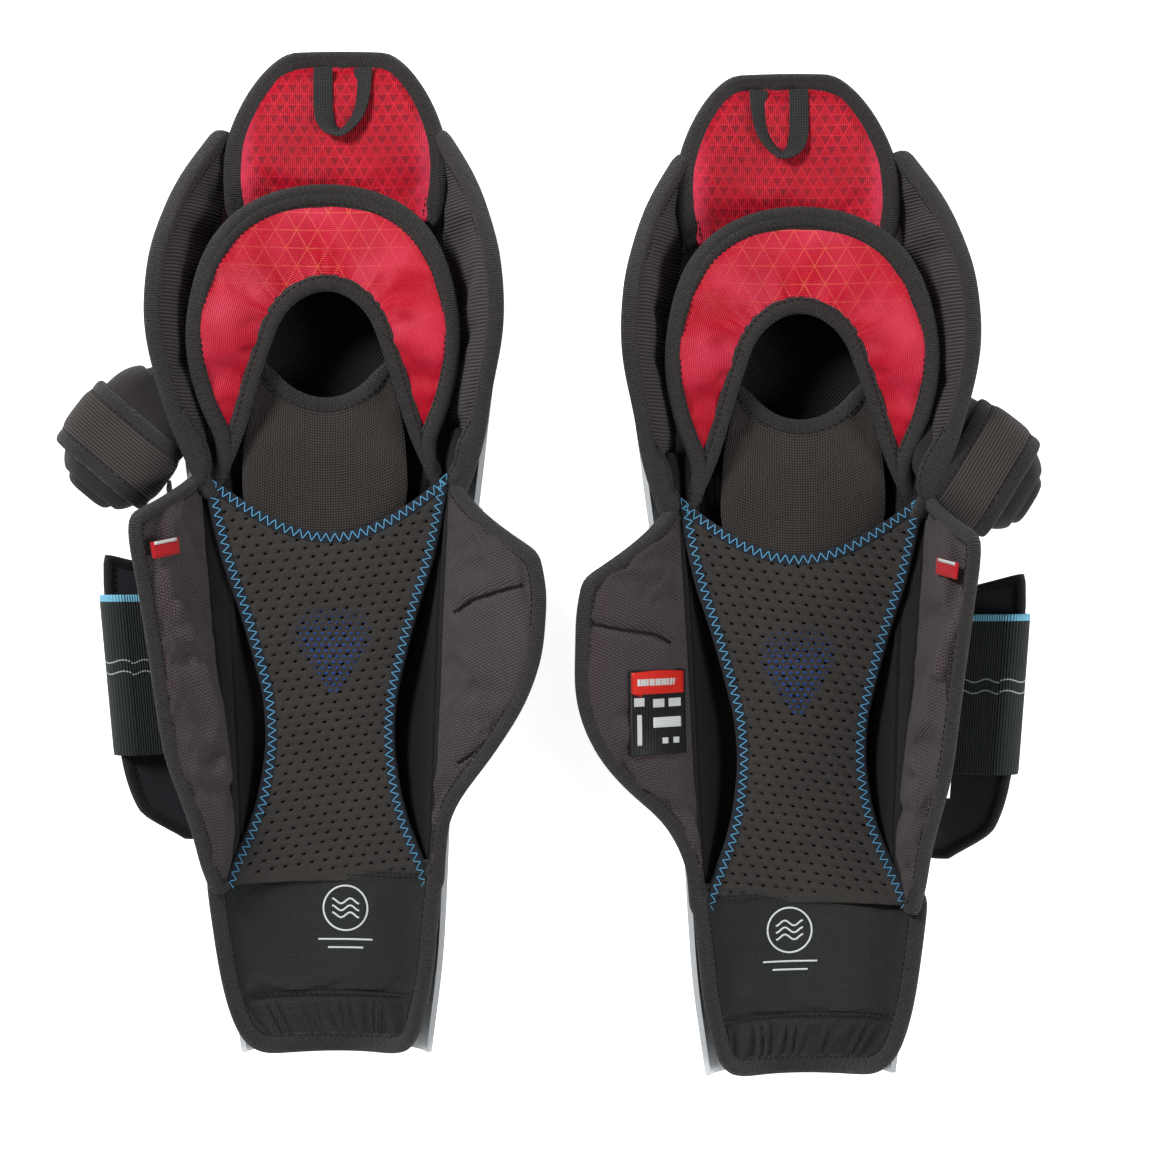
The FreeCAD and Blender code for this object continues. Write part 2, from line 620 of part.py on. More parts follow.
def strap_wing():
    """A springy plate that the calf strap pulls on, with a long slot for the strap."""
    start, run, out = strap_run()
    normal = V(out.z, 0, -out.x)
    near = V(out).multiply(-STRAP_HALF - STRAP_CLEAR)
    corner = start.add(near).sub(V(run).multiply(0.06)).sub(V(normal).multiply(8))
    across = V(out).multiply(STRAP_WALL + 2 * STRAP_CLEAR)
    along = V(run).multiply(1.12)
    corners = [corner, corner.add(across), corner.add(across).add(along), corner.add(along), corner]
    slot = Part.Face(Part.makePolygon(corners)).extrude(V(normal).multiply(16))
    return pad(wing_point, WING_THICK, 15, 7).cut(slot)


def knee_strap(side):
    """A wide strap rolled up on itself in two turns, with the tail that ties it to its keeper."""
    middle, length_way, width_way = ROLL[side]
    across = math.radians(width_way)
    width = V(math.cos(across), math.sin(across), 0)
    turns = []
    for half_long, half_high, thick, wide in (ROLL_OUTER, ROLL_INNER):
        start = V(*middle).sub(V(width).multiply(wide / 2))
        turn = FreeCAD.Rotation(V(0, 0, 1), length_way)
        turns.append(band(half_long, half_high, thick, start, turn, V(width).multiply(wide)))
    return Part.makeCompound(turns + [knee_tail(side)])


def knee_tail(side):
    """The strip between the roll's near end and the keeper."""
    middle, length_way, width_way = ROLL[side]
    along, across = math.radians(length_way), math.radians(width_way)
    reach, slip = ROLL_OUTER[0] + 1.6, 8.0
    end = V(*middle).add(V(math.cos(along), math.sin(along), 0).multiply(reach))
    end = end.add(V(math.cos(across), math.sin(across), 0).multiply(slip))
    start = V(*TAIL_START)

    def strip(s, t):
        sag = 4 * s * (1 - s)
        here = start.add(end.sub(start).multiply(s))
        return here.add(V(-2 * sag, 0, mix(-TAIL_HALF, TAIL_HALF, t)))
    return pad(strip, 2.2, 7, 4)


# ---------------------------------------------------------------- one guard
def guard(side):
    """The sub-parts of one guard, in its own frame, by name."""
    lean = FLAP_LEAN[side]
    made = {
        "shin_shell": shin_shell(),
        "shin_ridge": shin_ridge(),
        "shin_lining": shin_lining(),
        "shin_patches": shin_patches(),
        "knee_pins": knee_pins(),
        "air_sling": air_sling(),
        "ankle_panel": panel(28.5, 98.5, 0.0, PANEL_THICK),
        "ankle_cuff": panel(7.0, 27.0, 0.5, 3.5),
        "tongue_pad": tongue(),
        "strap_anchors": strap_anchors(),
        "shell_rivets": shell_rivets(),
        "outer_flap": outer_flap(lean["outer"]),
        "side_tag": side_tag(lean["outer"]),
        "inner_flap": inner_flap(lean["inner"]),
        "inner_flap_plate": inner_flap_plate(lean["inner"]),
        "knee_cap": knee_cap(),
        "knee_bumper": knee_bumper(),
        "cup_lining": cup_lining(),
        "knee_cushion": knee_cushion(),
        "cushion_base": cushion_base(),
        "outer_knee_wing": knee_wing(-1),
        "inner_knee_wing": knee_wing(1),
        "thigh_pad": thigh_pad(),
        "thigh_plate": thigh_plate(),
        "thigh_webs": thigh_webs(),
        "pull_loop": pull_loop(),
        "strap_wing": strap_wing(),
        "calf_strap": calf_strap(),
        "knee_strap": knee_strap(side),
    }
    if side == "right":
        made["size_label"] = size_label(lean["inner"])
    return made


def placed(shape, side):
    """A guard's shape, from its own frame to the pair's."""
    if side == "right":
        shape = shape.mirror(V(0, 0, 0), V(1, 0, 0))
        shape.rotate(V(0, 0, 0), V(0, 0, 1), RIGHT_TURN)
        shape.translate(V(SPACING / 2, -RIGHT_DROP / 2, 0))
    else:
        shape.translate(V(-SPACING / 2, RIGHT_DROP / 2, 0))
    shape.translate(V(-PAIR_MIDDLE[0], -PAIR_MIDDLE[1], 0))
    return shape


def main():
    os.makedirs("parts", exist_ok=True)
    for side in ("left", "right"):
        for name, shape in guard(side).items():
            placed(shape, side).exportStep(f"parts/{side}_{name}.step")


main()
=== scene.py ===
"""The looks of a pair of ice hockey shin guards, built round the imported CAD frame.

Each guard is made in its own frame, in millimetres, as the CAD is: X across with the outer side of
the leg at -X, Y from the ankle to the thigh, Z up from the floor to the leg.
"""
import json
import math

import bmesh
import bpy
import numpy as np
from mathutils import Matrix, Vector
from mathutils.bvhtree import BVHTree

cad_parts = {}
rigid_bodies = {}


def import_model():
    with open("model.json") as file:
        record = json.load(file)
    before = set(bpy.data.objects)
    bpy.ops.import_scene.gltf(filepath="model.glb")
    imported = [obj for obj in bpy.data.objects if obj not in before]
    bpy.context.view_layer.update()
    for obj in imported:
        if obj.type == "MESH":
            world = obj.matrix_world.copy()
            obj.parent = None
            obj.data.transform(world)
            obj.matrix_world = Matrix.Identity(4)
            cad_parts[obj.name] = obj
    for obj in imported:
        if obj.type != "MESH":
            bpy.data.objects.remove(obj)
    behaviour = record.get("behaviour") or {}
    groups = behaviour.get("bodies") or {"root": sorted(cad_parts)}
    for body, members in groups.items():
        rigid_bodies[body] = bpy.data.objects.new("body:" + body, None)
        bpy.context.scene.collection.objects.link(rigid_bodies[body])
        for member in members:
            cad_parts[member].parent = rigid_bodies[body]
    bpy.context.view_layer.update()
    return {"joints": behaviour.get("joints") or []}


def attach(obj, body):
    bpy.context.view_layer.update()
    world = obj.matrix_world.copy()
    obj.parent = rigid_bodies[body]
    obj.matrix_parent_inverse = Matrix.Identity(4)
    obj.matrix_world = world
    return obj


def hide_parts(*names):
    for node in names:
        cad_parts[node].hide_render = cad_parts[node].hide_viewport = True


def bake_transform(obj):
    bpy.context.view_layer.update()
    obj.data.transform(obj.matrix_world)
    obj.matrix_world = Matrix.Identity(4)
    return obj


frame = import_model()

MM = 0.001

# ------------------------------------------------------------------ dimensions shared with the CAD
PIVOT_Y, PIVOT_Z = 291.0, 47.0
SHIN = (
    ((0, 52), (60, 59), (150, 63), (240, 66), (310, 69)),
    ((0, 4), (60, 3), (200, 3), (270, 7.5), (310, 12)),
    ((0, 48), (100, 54), (200, 58), (310, 64)),
)
KNEE = (
    ((280, 76), (330, 82), (385, 87), (435, 80), (465, 66), (478, 57)),
    ((280, 3.2), (320, 3), (385, 3), (430, 5), (465, 12), (478, 17)),
    ((280, 60), (385, 62), (440, 56), (478, 45)),
)
LINING_OUT, LINING_WRAP, LINING_FROM = 10.8, 80.0, 6.0
INNER_ROOT_X = ((20, 46), (60, 50), (150, 54.5), (240, 58), (302, 61))
OUTER_ROOT_X = ((86, 57.5), (102, 55.5), (122, 54.5), (150, 56), (186, 59.5), (220, 63.5), (250, 67),
                (300, 70.5))
FLAP_ROOT_Z = ((20, 50), (100, 55), (200, 59), (302, 63))
INNER_FLAP_WIDE = ((84, 2), (110, 2.5), (125, 4), (142, 14), (155, 28), (169, 42), (180, 52), (196, 64.5),
                   (223, 75), (244, 76), (271, 68), (302, 44))
OUTER_FLAP_WIDE = ((84, 5), (92, 11), (104, 21), (121, 30), (145, 42), (163, 51), (190, 54), (221, 55),
                   (250, 57), (280, 62), (302, 56))
FLAP_FROM, FLAP_TO = 91.0, 313.0
FLAP_CURL, FLAP_MORE = 22.0, 2.0
RIGHT_INNER_MORE = ((115, 0), (130, 4), (144, 5), (160, 10), (174, 12), (190, 9), (204, 6), (225, 0),
                    (249, -3), (302, 0))
INNER_TOP_DROP, OUTER_TOP_DROP = 44.0, 24.0
FLAP_LEAN = {
    "left": {"inner": 48.0, "outer": 62.0},
    "right": {"inner": 42.0, "outer": 72.0},
}
BOW = 0.0045
SLING_HALF = ((92, 55), (101, 52.5), (112, 48), (130, 41), (150, 36.5), (172, 34.5), (189, 35.5), (215, 41),
              (244, 49), (268, 56.5), (306, 64.5), (316, 66.0))
SLING_MIDDLE = ((92, -4), (172, -3.6), (268, -3.4), (306, -3.6), (316, -4.0))
SLING_Z = ((92, 29.5), (101, 30), (180, 36), (272, 46), (304, 47))
SLING_BOW = ((101, 0.009), (180, 0.0045), (304, 0.0047))
SLING_FROM, SLING_DIP, SLING_RISE = 92.0, 282.0, 32.0
PANEL_Z, PANEL_RISE, PANEL_TOP, PANEL_SLOPE = 28.0, 3.0, 99.0, 0.14
PANEL_OUTER = ((3, 41), (12, 47), (20, 50.5), (40, 56), (83, 62.5), (100, 64.5), (112, 66))
PANEL_INNER = ((3, 38), (20, 42.5), (40, 47), (83, 51.5), (108, 55))
TONGUE_HALF = ((262, 24), (275, 36), (290, 42.5), (308, 44.5), (325, 44), (345, 41.5), (360, 38), (374, 35))
TONGUE_Z = ((262, 36), (285, 40), (320, 47), (366, 51))
RED_OUTER = ((0, 74), (20, 75), (40, 74.5), (55, 70.5), (70, 67.8), (90, 67), (105, 66.8), (114, 68),
             (125, 70), (136, 72.5))
RED_INNER = ((0, 32.3), (41, 31.5), (90, 34), (102, 38), (113, 43), (121, 48.5), (130, 60), (136, 68))
HORSE_X, HORSE_Y, HORSE_SPAN = -4.0, 385.0, 136.0
HORSE_Z = ((326, 52), (360, 60), (400, 66), (468, 65))
WAIST_FOOT = {
    "outer": ((-78.0, 304.0, 73.0), (-72.5, 310.0, 74.0)),
    "inner": ((64.0, 307.0, 70.0), (66.0, 312.0, 74.0)),
}
KWING_EDGE_X = ((303, 67), (316, 72), (346, 83), (398, 93), (426, 91), (446, 86), (466, 79), (495, 63))
KWING_EDGE_Z = ((303, 68), (316, 75), (346, 92), (398, 106), (426, 103), (446, 94), (466, 82), (495, 59))
KWING_ROOT_X = ((303, 62), (316, 64), (346, 67), (398, 70), (435, 65), (456, 62), (495, 55))
KWING_ROOT_Z = ((303, 58), (316, 50), (398, 42), (435, 43), (456, 48), (495, 48))
THIGH_Z = 44.0
THIGH_HALF = ((447, 52), (475, 54.5), (488, 54), (498, 51.5), (508, 47.5), (516, 43.5), (522, 39.5),
              (528, 35), (533, 29.5), (537, 24))
WING_FROM, WING_TO, WING_RISE, WING_TILT = 118.0, 254.0, 14.0, 38.0
WING_ROOT = ((-66.8, 36.5), (-67.6, 37.5))
WING_WIDE = ((118, 18), (135, 46), (163, 56), (200, 61), (254, 66))
STRAP_FROM, STRAP_TO = 154.0, 240.0
STRAP_CENTRE, STRAP_LEAN, STRAP_HALF, STRAP_HIGH = 43.0, 4.0, 22.0, 9.0
ROLL = {
    "left": ((-114.5, 329.0, 64.0), -40.0, 233.0),
    "right": ((-101.0, 327.0, 66.0), -58.0, 218.0),
}
TAIL_START = (-76.5, 266.0, 46.0)


# ------------------------------------------------------------------ small maths
def through(stations, y):
    """The value at y on a smooth curve through (y, value) stations that never overshoots them."""
    xs = [float(a) for a, _ in stations]
    vs = [float(b) for _, b in stations]
    if y <= xs[0]:
        return vs[0]
    if y >= xs[-1]:
        return vs[-1]
    slopes = [(vs[i + 1] - vs[i]) / (xs[i + 1] - xs[i]) for i in range(len(xs) - 1)]
    tangents = [slopes[0]]
    for a, b in zip(slopes, slopes[1:]):
        tangents.append(0.0 if a * b <= 0 else 2 * a * b / (a + b))
    tangents.append(slopes[-1])
    i = max(k for k in range(len(xs) - 1) if xs[k] <= y)
    h = xs[i + 1] - xs[i]
    t = (y - xs[i]) / h
    return (
        vs[i] * (1 + 2 * t) * (1 - t) ** 2
        + tangents[i] * h * t * (1 - t) ** 2
        + vs[i + 1] * t * t * (3 - 2 * t)
        + tangents[i + 1] * h * t * t * (t - 1)
    )


def mix(a, b, t):
    return a + (b - a) * t


def ease(t):
    t = np.clip(t, 0.0, 1.0)
    return t * t * (3 - 2 * t)


def unit(v):
    return v / (np.linalg.norm(v, axis=-1, keepdims=True) + 1e-12)


def wall(tables, y, degrees, inset):
    """A point on a U-shaped wall: 0 degrees is its front line near the floor, and 90 its upright side."""
    half, front, rim = (through(table, y) for table in tables)
    a = math.radians(degrees)
    return ((half - inset) * math.sin(a), y, rim - (rim - front - inset) * math.cos(a))


def spread(n, edge):
    """n shares from 0 to 1, closer together near both ends."""
    even = np.linspace(0, 1, n)
    return mix(even, 0.5 - 0.5 * np.cos(math.pi * even), edge)


def grid(fn, ss, ts):
    return np.array([[fn(s, t) for t in ts] for s in ss], float)


def normals(p):
    n = unit(np.cross(np.gradient(p, axis=0), np.gradient(p, axis=1)))
    return -n if n[..., 2].mean() < 0 else n


def soften(p, rounds):
    """Rounds a grid's corners: its rim is smoothed, and the inside follows."""
    if not rounds:
        return p
    rows, cols = rim_index(p.shape)
    rim = p[rows, cols]
    smooth = rim.copy()
    for _ in range(rounds):
        smooth = (np.roll(smooth, 1, 0) + 2 * smooth + np.roll(smooth, -1, 0)) / 4
    shift = np.zeros_like(p)
    for _ in range(150):
        shift[rows, cols] = smooth - rim
        around = shift[:-2, 1:-1] + shift[2:, 1:-1] + shift[1:-1, :-2] + shift[1:-1, 2:]
        shift[1:-1, 1:-1] = around / 4
    return p + shift


def rim_index(shape):
    """Row and column numbers once round a grid: along s=0, t=1, s=1 and t=0."""
    n, m = shape[:2]
    rows = [0] * (m - 1) + list(range(n - 1)) + [n - 1] * (m - 1) + list(range(n - 1, 0, -1))
    cols = list(range(m - 1)) + [m - 1] * (n - 1) + list(range(m - 1, 0, -1)) + [0] * (n - 1)
    return np.array(rows), np.array(cols)


def finer(a, times):
    """A grid with times as many cells each way, on Catmull-Rom curves."""
    for axis in (0, 1):
        a = np.moveaxis(a, axis, 0)
        n = len(a)
        at = np.linspace(0, n - 1, (n - 1) * times + 1)
        i = np.minimum(at.astype(int), n - 2)
        t = (at - i).reshape((-1,) + (1,) * (a.ndim - 1))
        p0, p1, p2, p3 = a[np.maximum(i - 1, 0)], a[i], a[i + 1], a[np.minimum(i + 2, n - 1)]
        a = 0.5 * (2 * p1 + (p2 - p0) * t + (2 * p0 - 5 * p1 + 4 * p2 - p3) * t ** 2
                   + (3 * p1 - p0 - 3 * p2 + p3) * t ** 3)
        a = np.moveaxis(a, 0, axis)
    return a


def lengths(path):
    return np.concatenate([[0], np.cumsum(np.linalg.norm(np.diff(path, axis=0), axis=1))])


def resample(path, step, *along):
    """A path, and the arrays that go with it, at even spacing."""
    far = lengths(path)
    n = max(2, int(round(far[-1] / step)) + 1)
    at = np.linspace(0, far[-1], n)
    out = [np.stack([np.interp(at, far, a[:, k]) for k in range(3)], 1) for a in (path,) + along]
    return out if along else out[0]


# ------------------------------------------------------------------ guards and meshes
class Guard:
    """One of the two guards: where it stands, and how its pieces are named."""

    def __init__(self, side):
        self.side = side
        joint = next(j for j in frame["joints"] if j["name"] == f"{side}_knee_flex")
        turn = Matrix.Rotation(math.atan2(joint["axis"][1], joint["axis"][0]), 4, "Z")
        pivot = Vector((0, PIVOT_Y * MM, PIVOT_Z * MM))
        flip = Matrix.Scale(-1 if side == "right" else 1, 4, (1, 0, 0))
        self.matrix = Matrix.Translation(Vector(joint["pos_m"]) - turn @ pivot) @ turn @ flip
        self.array = np.array(self.matrix)

    def place(self, p):
        """Points in the guard's frame, in mm, as points in the row frame, in metres."""
        return np.asarray(p, float).reshape(-1, 3) * MM @ self.array[:3, :3].T + self.array[:3, 3]

    def body(self, name):
        return f"{self.side}_{name}"


class Mesh:
    """Collects grids of points into one mesh, with texture coordinates in mm."""

    def __init__(self):
        self.points, self.faces, self.uvs, self.count, self.slots = [], [], [], 0, []
        self.slot = 0

    def use(self, slot):
        self.slot = slot
        return self

    def lattice(self, p, u, v, wrap=False, ring=False):
        """p is n by m points. wrap joins the last column to the first, and ring the last row."""
        n, m = p.shape[:2]
        u = np.broadcast_to(np.asarray(u, float), (n + ring, m + wrap))
        v = np.broadcast_to(np.asarray(v, float), (n + ring, m + wrap))
        base = self.count
        for i in range(n - 1 + ring):
            for j in range(m - 1 + wrap):
                corners = ((i, j), (i + 1, j), (i + 1, j + 1), (i, j + 1))
                self.faces.append([base + (a % n) * m + b % m for a, b in corners])
                self.uvs.extend((u[a, b], v[a, b]) for a, b in corners)
                self.slots.append(self.slot)
        self.points.append(p.reshape(-1, 3))
        self.count += n * m
        return self

    def cap(self, ring, back=False):
        base = self.count
        order = list(range(base, base + len(ring)))
        self.faces.append(order[::-1] if back else order)
        self.uvs.extend([(0.0, 0.0)] * len(ring))
        self.slots.append(self.slot)
        self.points.append(np.asarray(ring, float))
        self.count += len(ring)
        return self

    def build(self, guard, name, materials):
        co = guard.place(np.concatenate(self.points))
        mesh = bpy.data.meshes.new(f"{guard.side}_{name}")
        mesh.from_pydata(co.tolist(), [], self.faces)
        layer = mesh.uv_layers.new(name="UVMap")
        layer.data.foreach_set("uv", np.array(self.uvs, float).ravel())
        mesh.polygons.foreach_set("material_index", self.slots)
        mesh.polygons.foreach_set("use_smooth", [True] * len(self.faces))
        work = bmesh.new()
        work.from_mesh(mesh)
        bmesh.ops.remove_doubles(work, verts=work.verts, dist=2e-5)
        bmesh.ops.recalc_face_normals(work, faces=work.faces)
        work.to_mesh(mesh)
        work.free()
        for material in materials if isinstance(materials, (list, tuple)) else [materials]:
            mesh.materials.append(material)
        made = bpy.data.objects.new(f"{guard.side}_{name}", mesh)
        bpy.context.scene.collection.objects.link(made)
        return made


def grid_uv(p):
    """Texture coordinates of a grid: u across from its middle line, v along it, both in mm."""
    steps = np.linalg.norm(np.diff(p, axis=1), axis=2)
    u = np.concatenate([np.zeros((len(p), 1)), np.cumsum(steps, 1)], 1)
    u -= u[:, -1:] / 2
    v = lengths(p[:, p.shape[1] // 2])
    return u, np.repeat(v[:, None], p.shape[1], 1)


def finish_piece(obj, guard, body, replaces=(), between=None):
    """Attaches a piece to its body; a piece given a second body and the span between them is only baked where
    it stands. Either way the CAD parts it replaces are hidden.
    """
    if between:
        other, start, end = between
        guard.body(body)
        guard.body(other)
        guard.place(start)[0]
        guard.place(end)[0]
        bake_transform(obj)
    else:
        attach(obj, guard.body(body))
    if replaces:
        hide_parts(*[f"{guard.side}_{n}" for n in replaces])
    return obj


def inflate(top, bottom, pressure, slack, cap, frames=14):
    """Blows a pad up by cloth simulation, held at its rim, and gives back its two faces."""
    n, m = top.shape[:2]
    index = np.arange(n * m).reshape(n, m)
    faces = [[index[i, j], index[i + 1, j], index[i + 1, j + 1], index[i, j + 1]]
             for i in range(n - 1) for j in range(m - 1)]
    inner = np.zeros((n, m), bool)
    inner[1:-1, 1:-1] = True
    under = index.copy()
    under[inner] = n * m + np.arange(inner.sum())
    faces += [[under[i, j], under[i, j + 1], under[i + 1, j + 1], under[i + 1, j]]
              for i in range(n - 1) for j in range(m - 1)]
    start = np.concatenate([top.reshape(-1, 3), bottom[inner]]) * MM
    mesh = bpy.data.meshes.new("pad")
    mesh.from_pydata(start.tolist(), [], np.array(faces).tolist())
    work = bmesh.new()
    work.from_mesh(mesh)
    bmesh.ops.recalc_face_normals(work, faces=work.faces)
    work.to_mesh(mesh)
    work.free()
    pad = bpy.data.objects.new("pad", mesh)
    bpy.context.scene.collection.objects.link(pad)
    held = pad.vertex_groups.new(name="held")
    held.add([int(k) for k in index[~inner]], 1.0, "REPLACE")
    cloth = pad.modifiers.new("Cloth", "CLOTH")
    s = cloth.settings
    s.quality, s.mass, s.tension_stiffness, s.compression_stiffness = 6, 0.25, 12, 12
    s.shear_stiffness, s.bending_stiffness, s.air_damping = 6, 0.35, 4
    s.use_pressure, s.uniform_pressure_force = True, pressure
    s.shrink_min, s.vertex_group_mass = -slack, "held"
    s.effector_weights.gravity = 0
    cloth.collision_settings.use_collision = False
    scene = bpy.context.scene
    for k in range(1, frames + 1):
        scene.frame_set(k)
    moved = pad.evaluated_get(bpy.context.evaluated_depsgraph_get()).to_mesh()
    co = np.zeros(len(start) * 3)
    moved.vertices.foreach_get("co", co)
    shift = np.nan_to_num(co.reshape(-1, 3) - start) / MM
    far = np.linalg.norm(shift, axis=1, keepdims=True)
    shift *= np.minimum(1, cap / np.maximum(far, 1e-9))
    i, j = np.meshgrid(np.arange(n), np.arange(m), indexing="ij")
    calm = ease(np.minimum(np.minimum(i, n - 1 - i), np.minimum(j, m - 1 - j)) / 4.0)
    shift *= np.concatenate([calm.ravel(), calm[inner]])[:, None]
    bpy.data.objects.remove(pad)
    bpy.data.meshes.remove(mesh)
    scene.frame_set(1)
    new_top = top + shift[: n * m].reshape(n, m, 3)
    new_bottom = bottom.copy()
    new_bottom[inner] += shift[n * m:]
    new_bottom[~inner] = new_top[~inner]
    return new_top, new_bottom


BLOWN = {}


def pillow(key, middle, thick, ns, nt, soft=0, share=0.5, sim=None, power=4.0):
    """A pad's two faces as fine grids, with its middle surface and the shares s and t.

    thick is its thickness at (s, t), share the part of it above the middle surface, and
    sim the pressure, slack and cap of its cloth simulation, which is kept under key.
    """
    if key in BLOWN:
        return BLOWN[key]
    ss, ts = spread(ns, 0.55), spread(nt, 0.55)
    p = soften(grid(middle, ss, ts), soft)
    up = normals(p)
    s, t = np.meshgrid(ss, ts, indexing="ij")
    round_off = ((1 - np.abs(2 * s - 1) ** power) * (1 - np.abs(2 * t - 1) ** power)) ** (1 / power)
    high = np.vectorize(thick)(s, t) * np.clip(round_off, 0, 1)
    top = p + up * (high * share)[..., None]
    bottom = p - up * (high * (1 - share))[..., None]
    if sim:
        top, bottom = inflate(top, bottom, *sim)
        short = np.maximum(0, 0.7 * high * np.clip(round_off, 0, 1) - ((top - bottom) * up).sum(-1))
        top, bottom = top + up * short[..., None] / 2, bottom - up * short[..., None] / 2
    top, bottom, p = finer(top, 2), finer(bottom, 2), finer(p, 2)
    s, t = finer(s, 2), finer(t, 2)
    BLOWN[key] = top, bottom, p, s, t
    return BLOWN[key]


def press(top, depth):
    """Moves a face's points along its normals, by a depth in mm at each."""
    return top + normals(top) * depth[..., None]


def rim_path(p, edges):
    """The rim of a grid along some of its four edges, with the ways out of it and up from it.

    edges are letters in order round the rim: a is s=0, b is t=1, c is s=1 and d is t=0.
    """
    n, m = p.shape[:2]
    out_s, out_t = np.gradient(p, axis=0), np.gradient(p, axis=1)
    up = normals(p)
    runs = {
        "a": (np.zeros(m, int), np.arange(m), -out_s),
        "b": (np.arange(n), np.full(n, m - 1), out_t),
        "c": (np.full(m, n - 1), np.arange(m)[::-1], out_s),
        "d": (np.arange(n)[::-1], np.zeros(n, int), -out_t),
    }
    points, outs, ups = [], [], []
    for letter in edges:
        rows, cols, out = runs[letter]
        first = 1 if points else 0
        points.append(p[rows, cols][first:])
        outs.append(unit(out[rows, cols])[first:])
        ups.append(up[rows, cols][first:])
    points, outs, ups = (np.concatenate(x) for x in (points, outs, ups))
    return path_frames(points, outs, ups, closed=len(edges) == 4)


def path_frames(points, outs, ups, closed=False, rounds=6):
    """Evens out the directions along a path, and squares them to it."""
    if closed:
        points, outs, ups = points[:-1], outs[:-1], ups[:-1]
        along = unit(np.roll(points, -1, 0) - np.roll(points, 1, 0))
    else:
        along = unit(np.gradient(points, axis=0))
    for _ in range(rounds):
        if closed:
            ups = unit(np.roll(ups, 1, 0) + 2 * ups + np.roll(ups, -1, 0))
        else:
            ups[1:-1] = unit(ups[:-2] + 2 * ups[1:-1] + ups[2:])
    square = unit(np.cross(ups, along))
    sign = np.sign((square * outs).sum(1).sum())
    outs = square * (sign if sign else 1)
    ups = unit(np.cross(along, outs))
    if (ups[:, 2]).sum() < 0:
        ups = -ups
    return points, outs, ups


def teardrop(out, high, back, n=14, flat=0.42):
    """A binding's section: round at the edge of the pad, and tapering back over it."""
    a = np.linspace(0, 2 * math.pi, n, endpoint=False)
    c, s = np.cos(a), np.sin(a)
    return np.stack([np.where(c > 0, out * c, back * c),
                     high * s * np.where(c > 0, 1, 1 - flat * np.abs(c))], 1)


def slab_section(low, high, half, n=12, power=4.0):
    """A flat tape's section, from low to high across and half thick each way."""
    a = np.linspace(0, 2 * math.pi, n, endpoint=False)
    c, s = np.cos(a), np.sin(a)
    wide = np.sign(c) * np.abs(c) ** (2 / power) * (high - low) / 2 + (high + low) / 2
    return np.stack([wide, np.sign(s) * np.abs(s) ** (2 / power) * half], 1)


def sweep(mesh, path, section, closed=False, scale=None):
    """Runs a section along a path of (points, outs, ups)."""
    points, outs, ups = path
    size = np.ones(len(points)) if scale is None else np.asarray(scale, float)
    a = section[None, :, 0, None] * size[:, None, None]
    b = section[None, :, 1, None] * size[:, None, None]
    p = points[:, None] + outs[:, None] * a + ups[:, None] * b
    along = lengths(np.concatenate([points, points[:1]]) if closed else points)
    round_it = lengths(np.concatenate([section, section[:1]]))
    mesh.lattice(p, round_it[None], along[:, None], wrap=True, ring=closed)
    if not closed:
        mesh.cap(p[0]).cap(p[-1], True)
    return mesh


def taper(n, ends=4, least=0.55):
    """A scale along a path that draws its two ends in."""
    k = np.arange(n)
    return mix(least, 1.0, ease(np.minimum(k, k[::-1]) / ends))


def thread(mesh, pairs, radius, rise=0.25, sides=5):
    """One rounded stitch for each pair of points, bowed up along the way given with it."""
    for a, b, up in pairs:
        along = unit(b - a)
        side = unit(np.cross(along, up))
        rings = []
        for share, size in ((0.0, 0.35), (0.12, 0.9), (0.5, 1.0), (0.88, 0.9), (1.0, 0.35)):
            centre = mix(a, b, share) + up * rise * (1 - (2 * share - 1) ** 2)
            turn = np.linspace(0, 2 * math.pi, sides, endpoint=False)[:, None]
            rings.append(centre + (side * np.cos(turn) + up * np.sin(turn)) * radius * size)
        p = np.array(rings)
        v = lengths(p[:, 0])
        mesh.lattice(p, np.linspace(0, 6.3 * radius, sides + 1)[None], v[:, None], wrap=True)
        mesh.cap(p[0]).cap(p[-1], True)
    return mesh


def straight_stitches(mesh, path, a, b, long=2.4, gap=1.1, radius=0.34):
    """A row of lockstitch beside a path: a out from it and b up."""
    points, outs, ups = resample(path[0], (long + gap) / 2, path[1], path[2])
    outs, ups = unit(outs), unit(ups)
    line = points + outs * a + ups * b
    share = gap / (long + gap)
    pairs = [(mix(line[i], line[i + 2], share / 2), mix(line[i], line[i + 2], 1 - share / 2), ups[i + 1])
             for i in range(0, len(line) - 2, 2)]
    return thread(mesh, pairs, radius)


def zigzag_stitches(mesh, path, low, high, b, pitch=7.0, radius=0.42):
    """A zigzag seam beside a path, between two distances out from it."""
    points, outs, ups = resample(path[0], pitch / 2, path[1], path[2])
    outs, ups = unit(outs), unit(ups)
    offset = np.where(np.arange(len(points)) % 2 == 0, low, high)[:, None]
    line = points + outs * offset + ups * b
    pairs = [(line[i], line[i + 1], ups[i]) for i in range(len(line) - 1)]
    return thread(mesh, pairs, radius, rise=0.15)


# ------------------------------------------------------------------ materials
def rgb(r, g, b):
    """A linear colour from one on the usual 0 to 255 scale."""
    return tuple(((c / 255 + 0.055) / 1.055) ** 2.4 for c in (r, g, b)) + (1.0,)


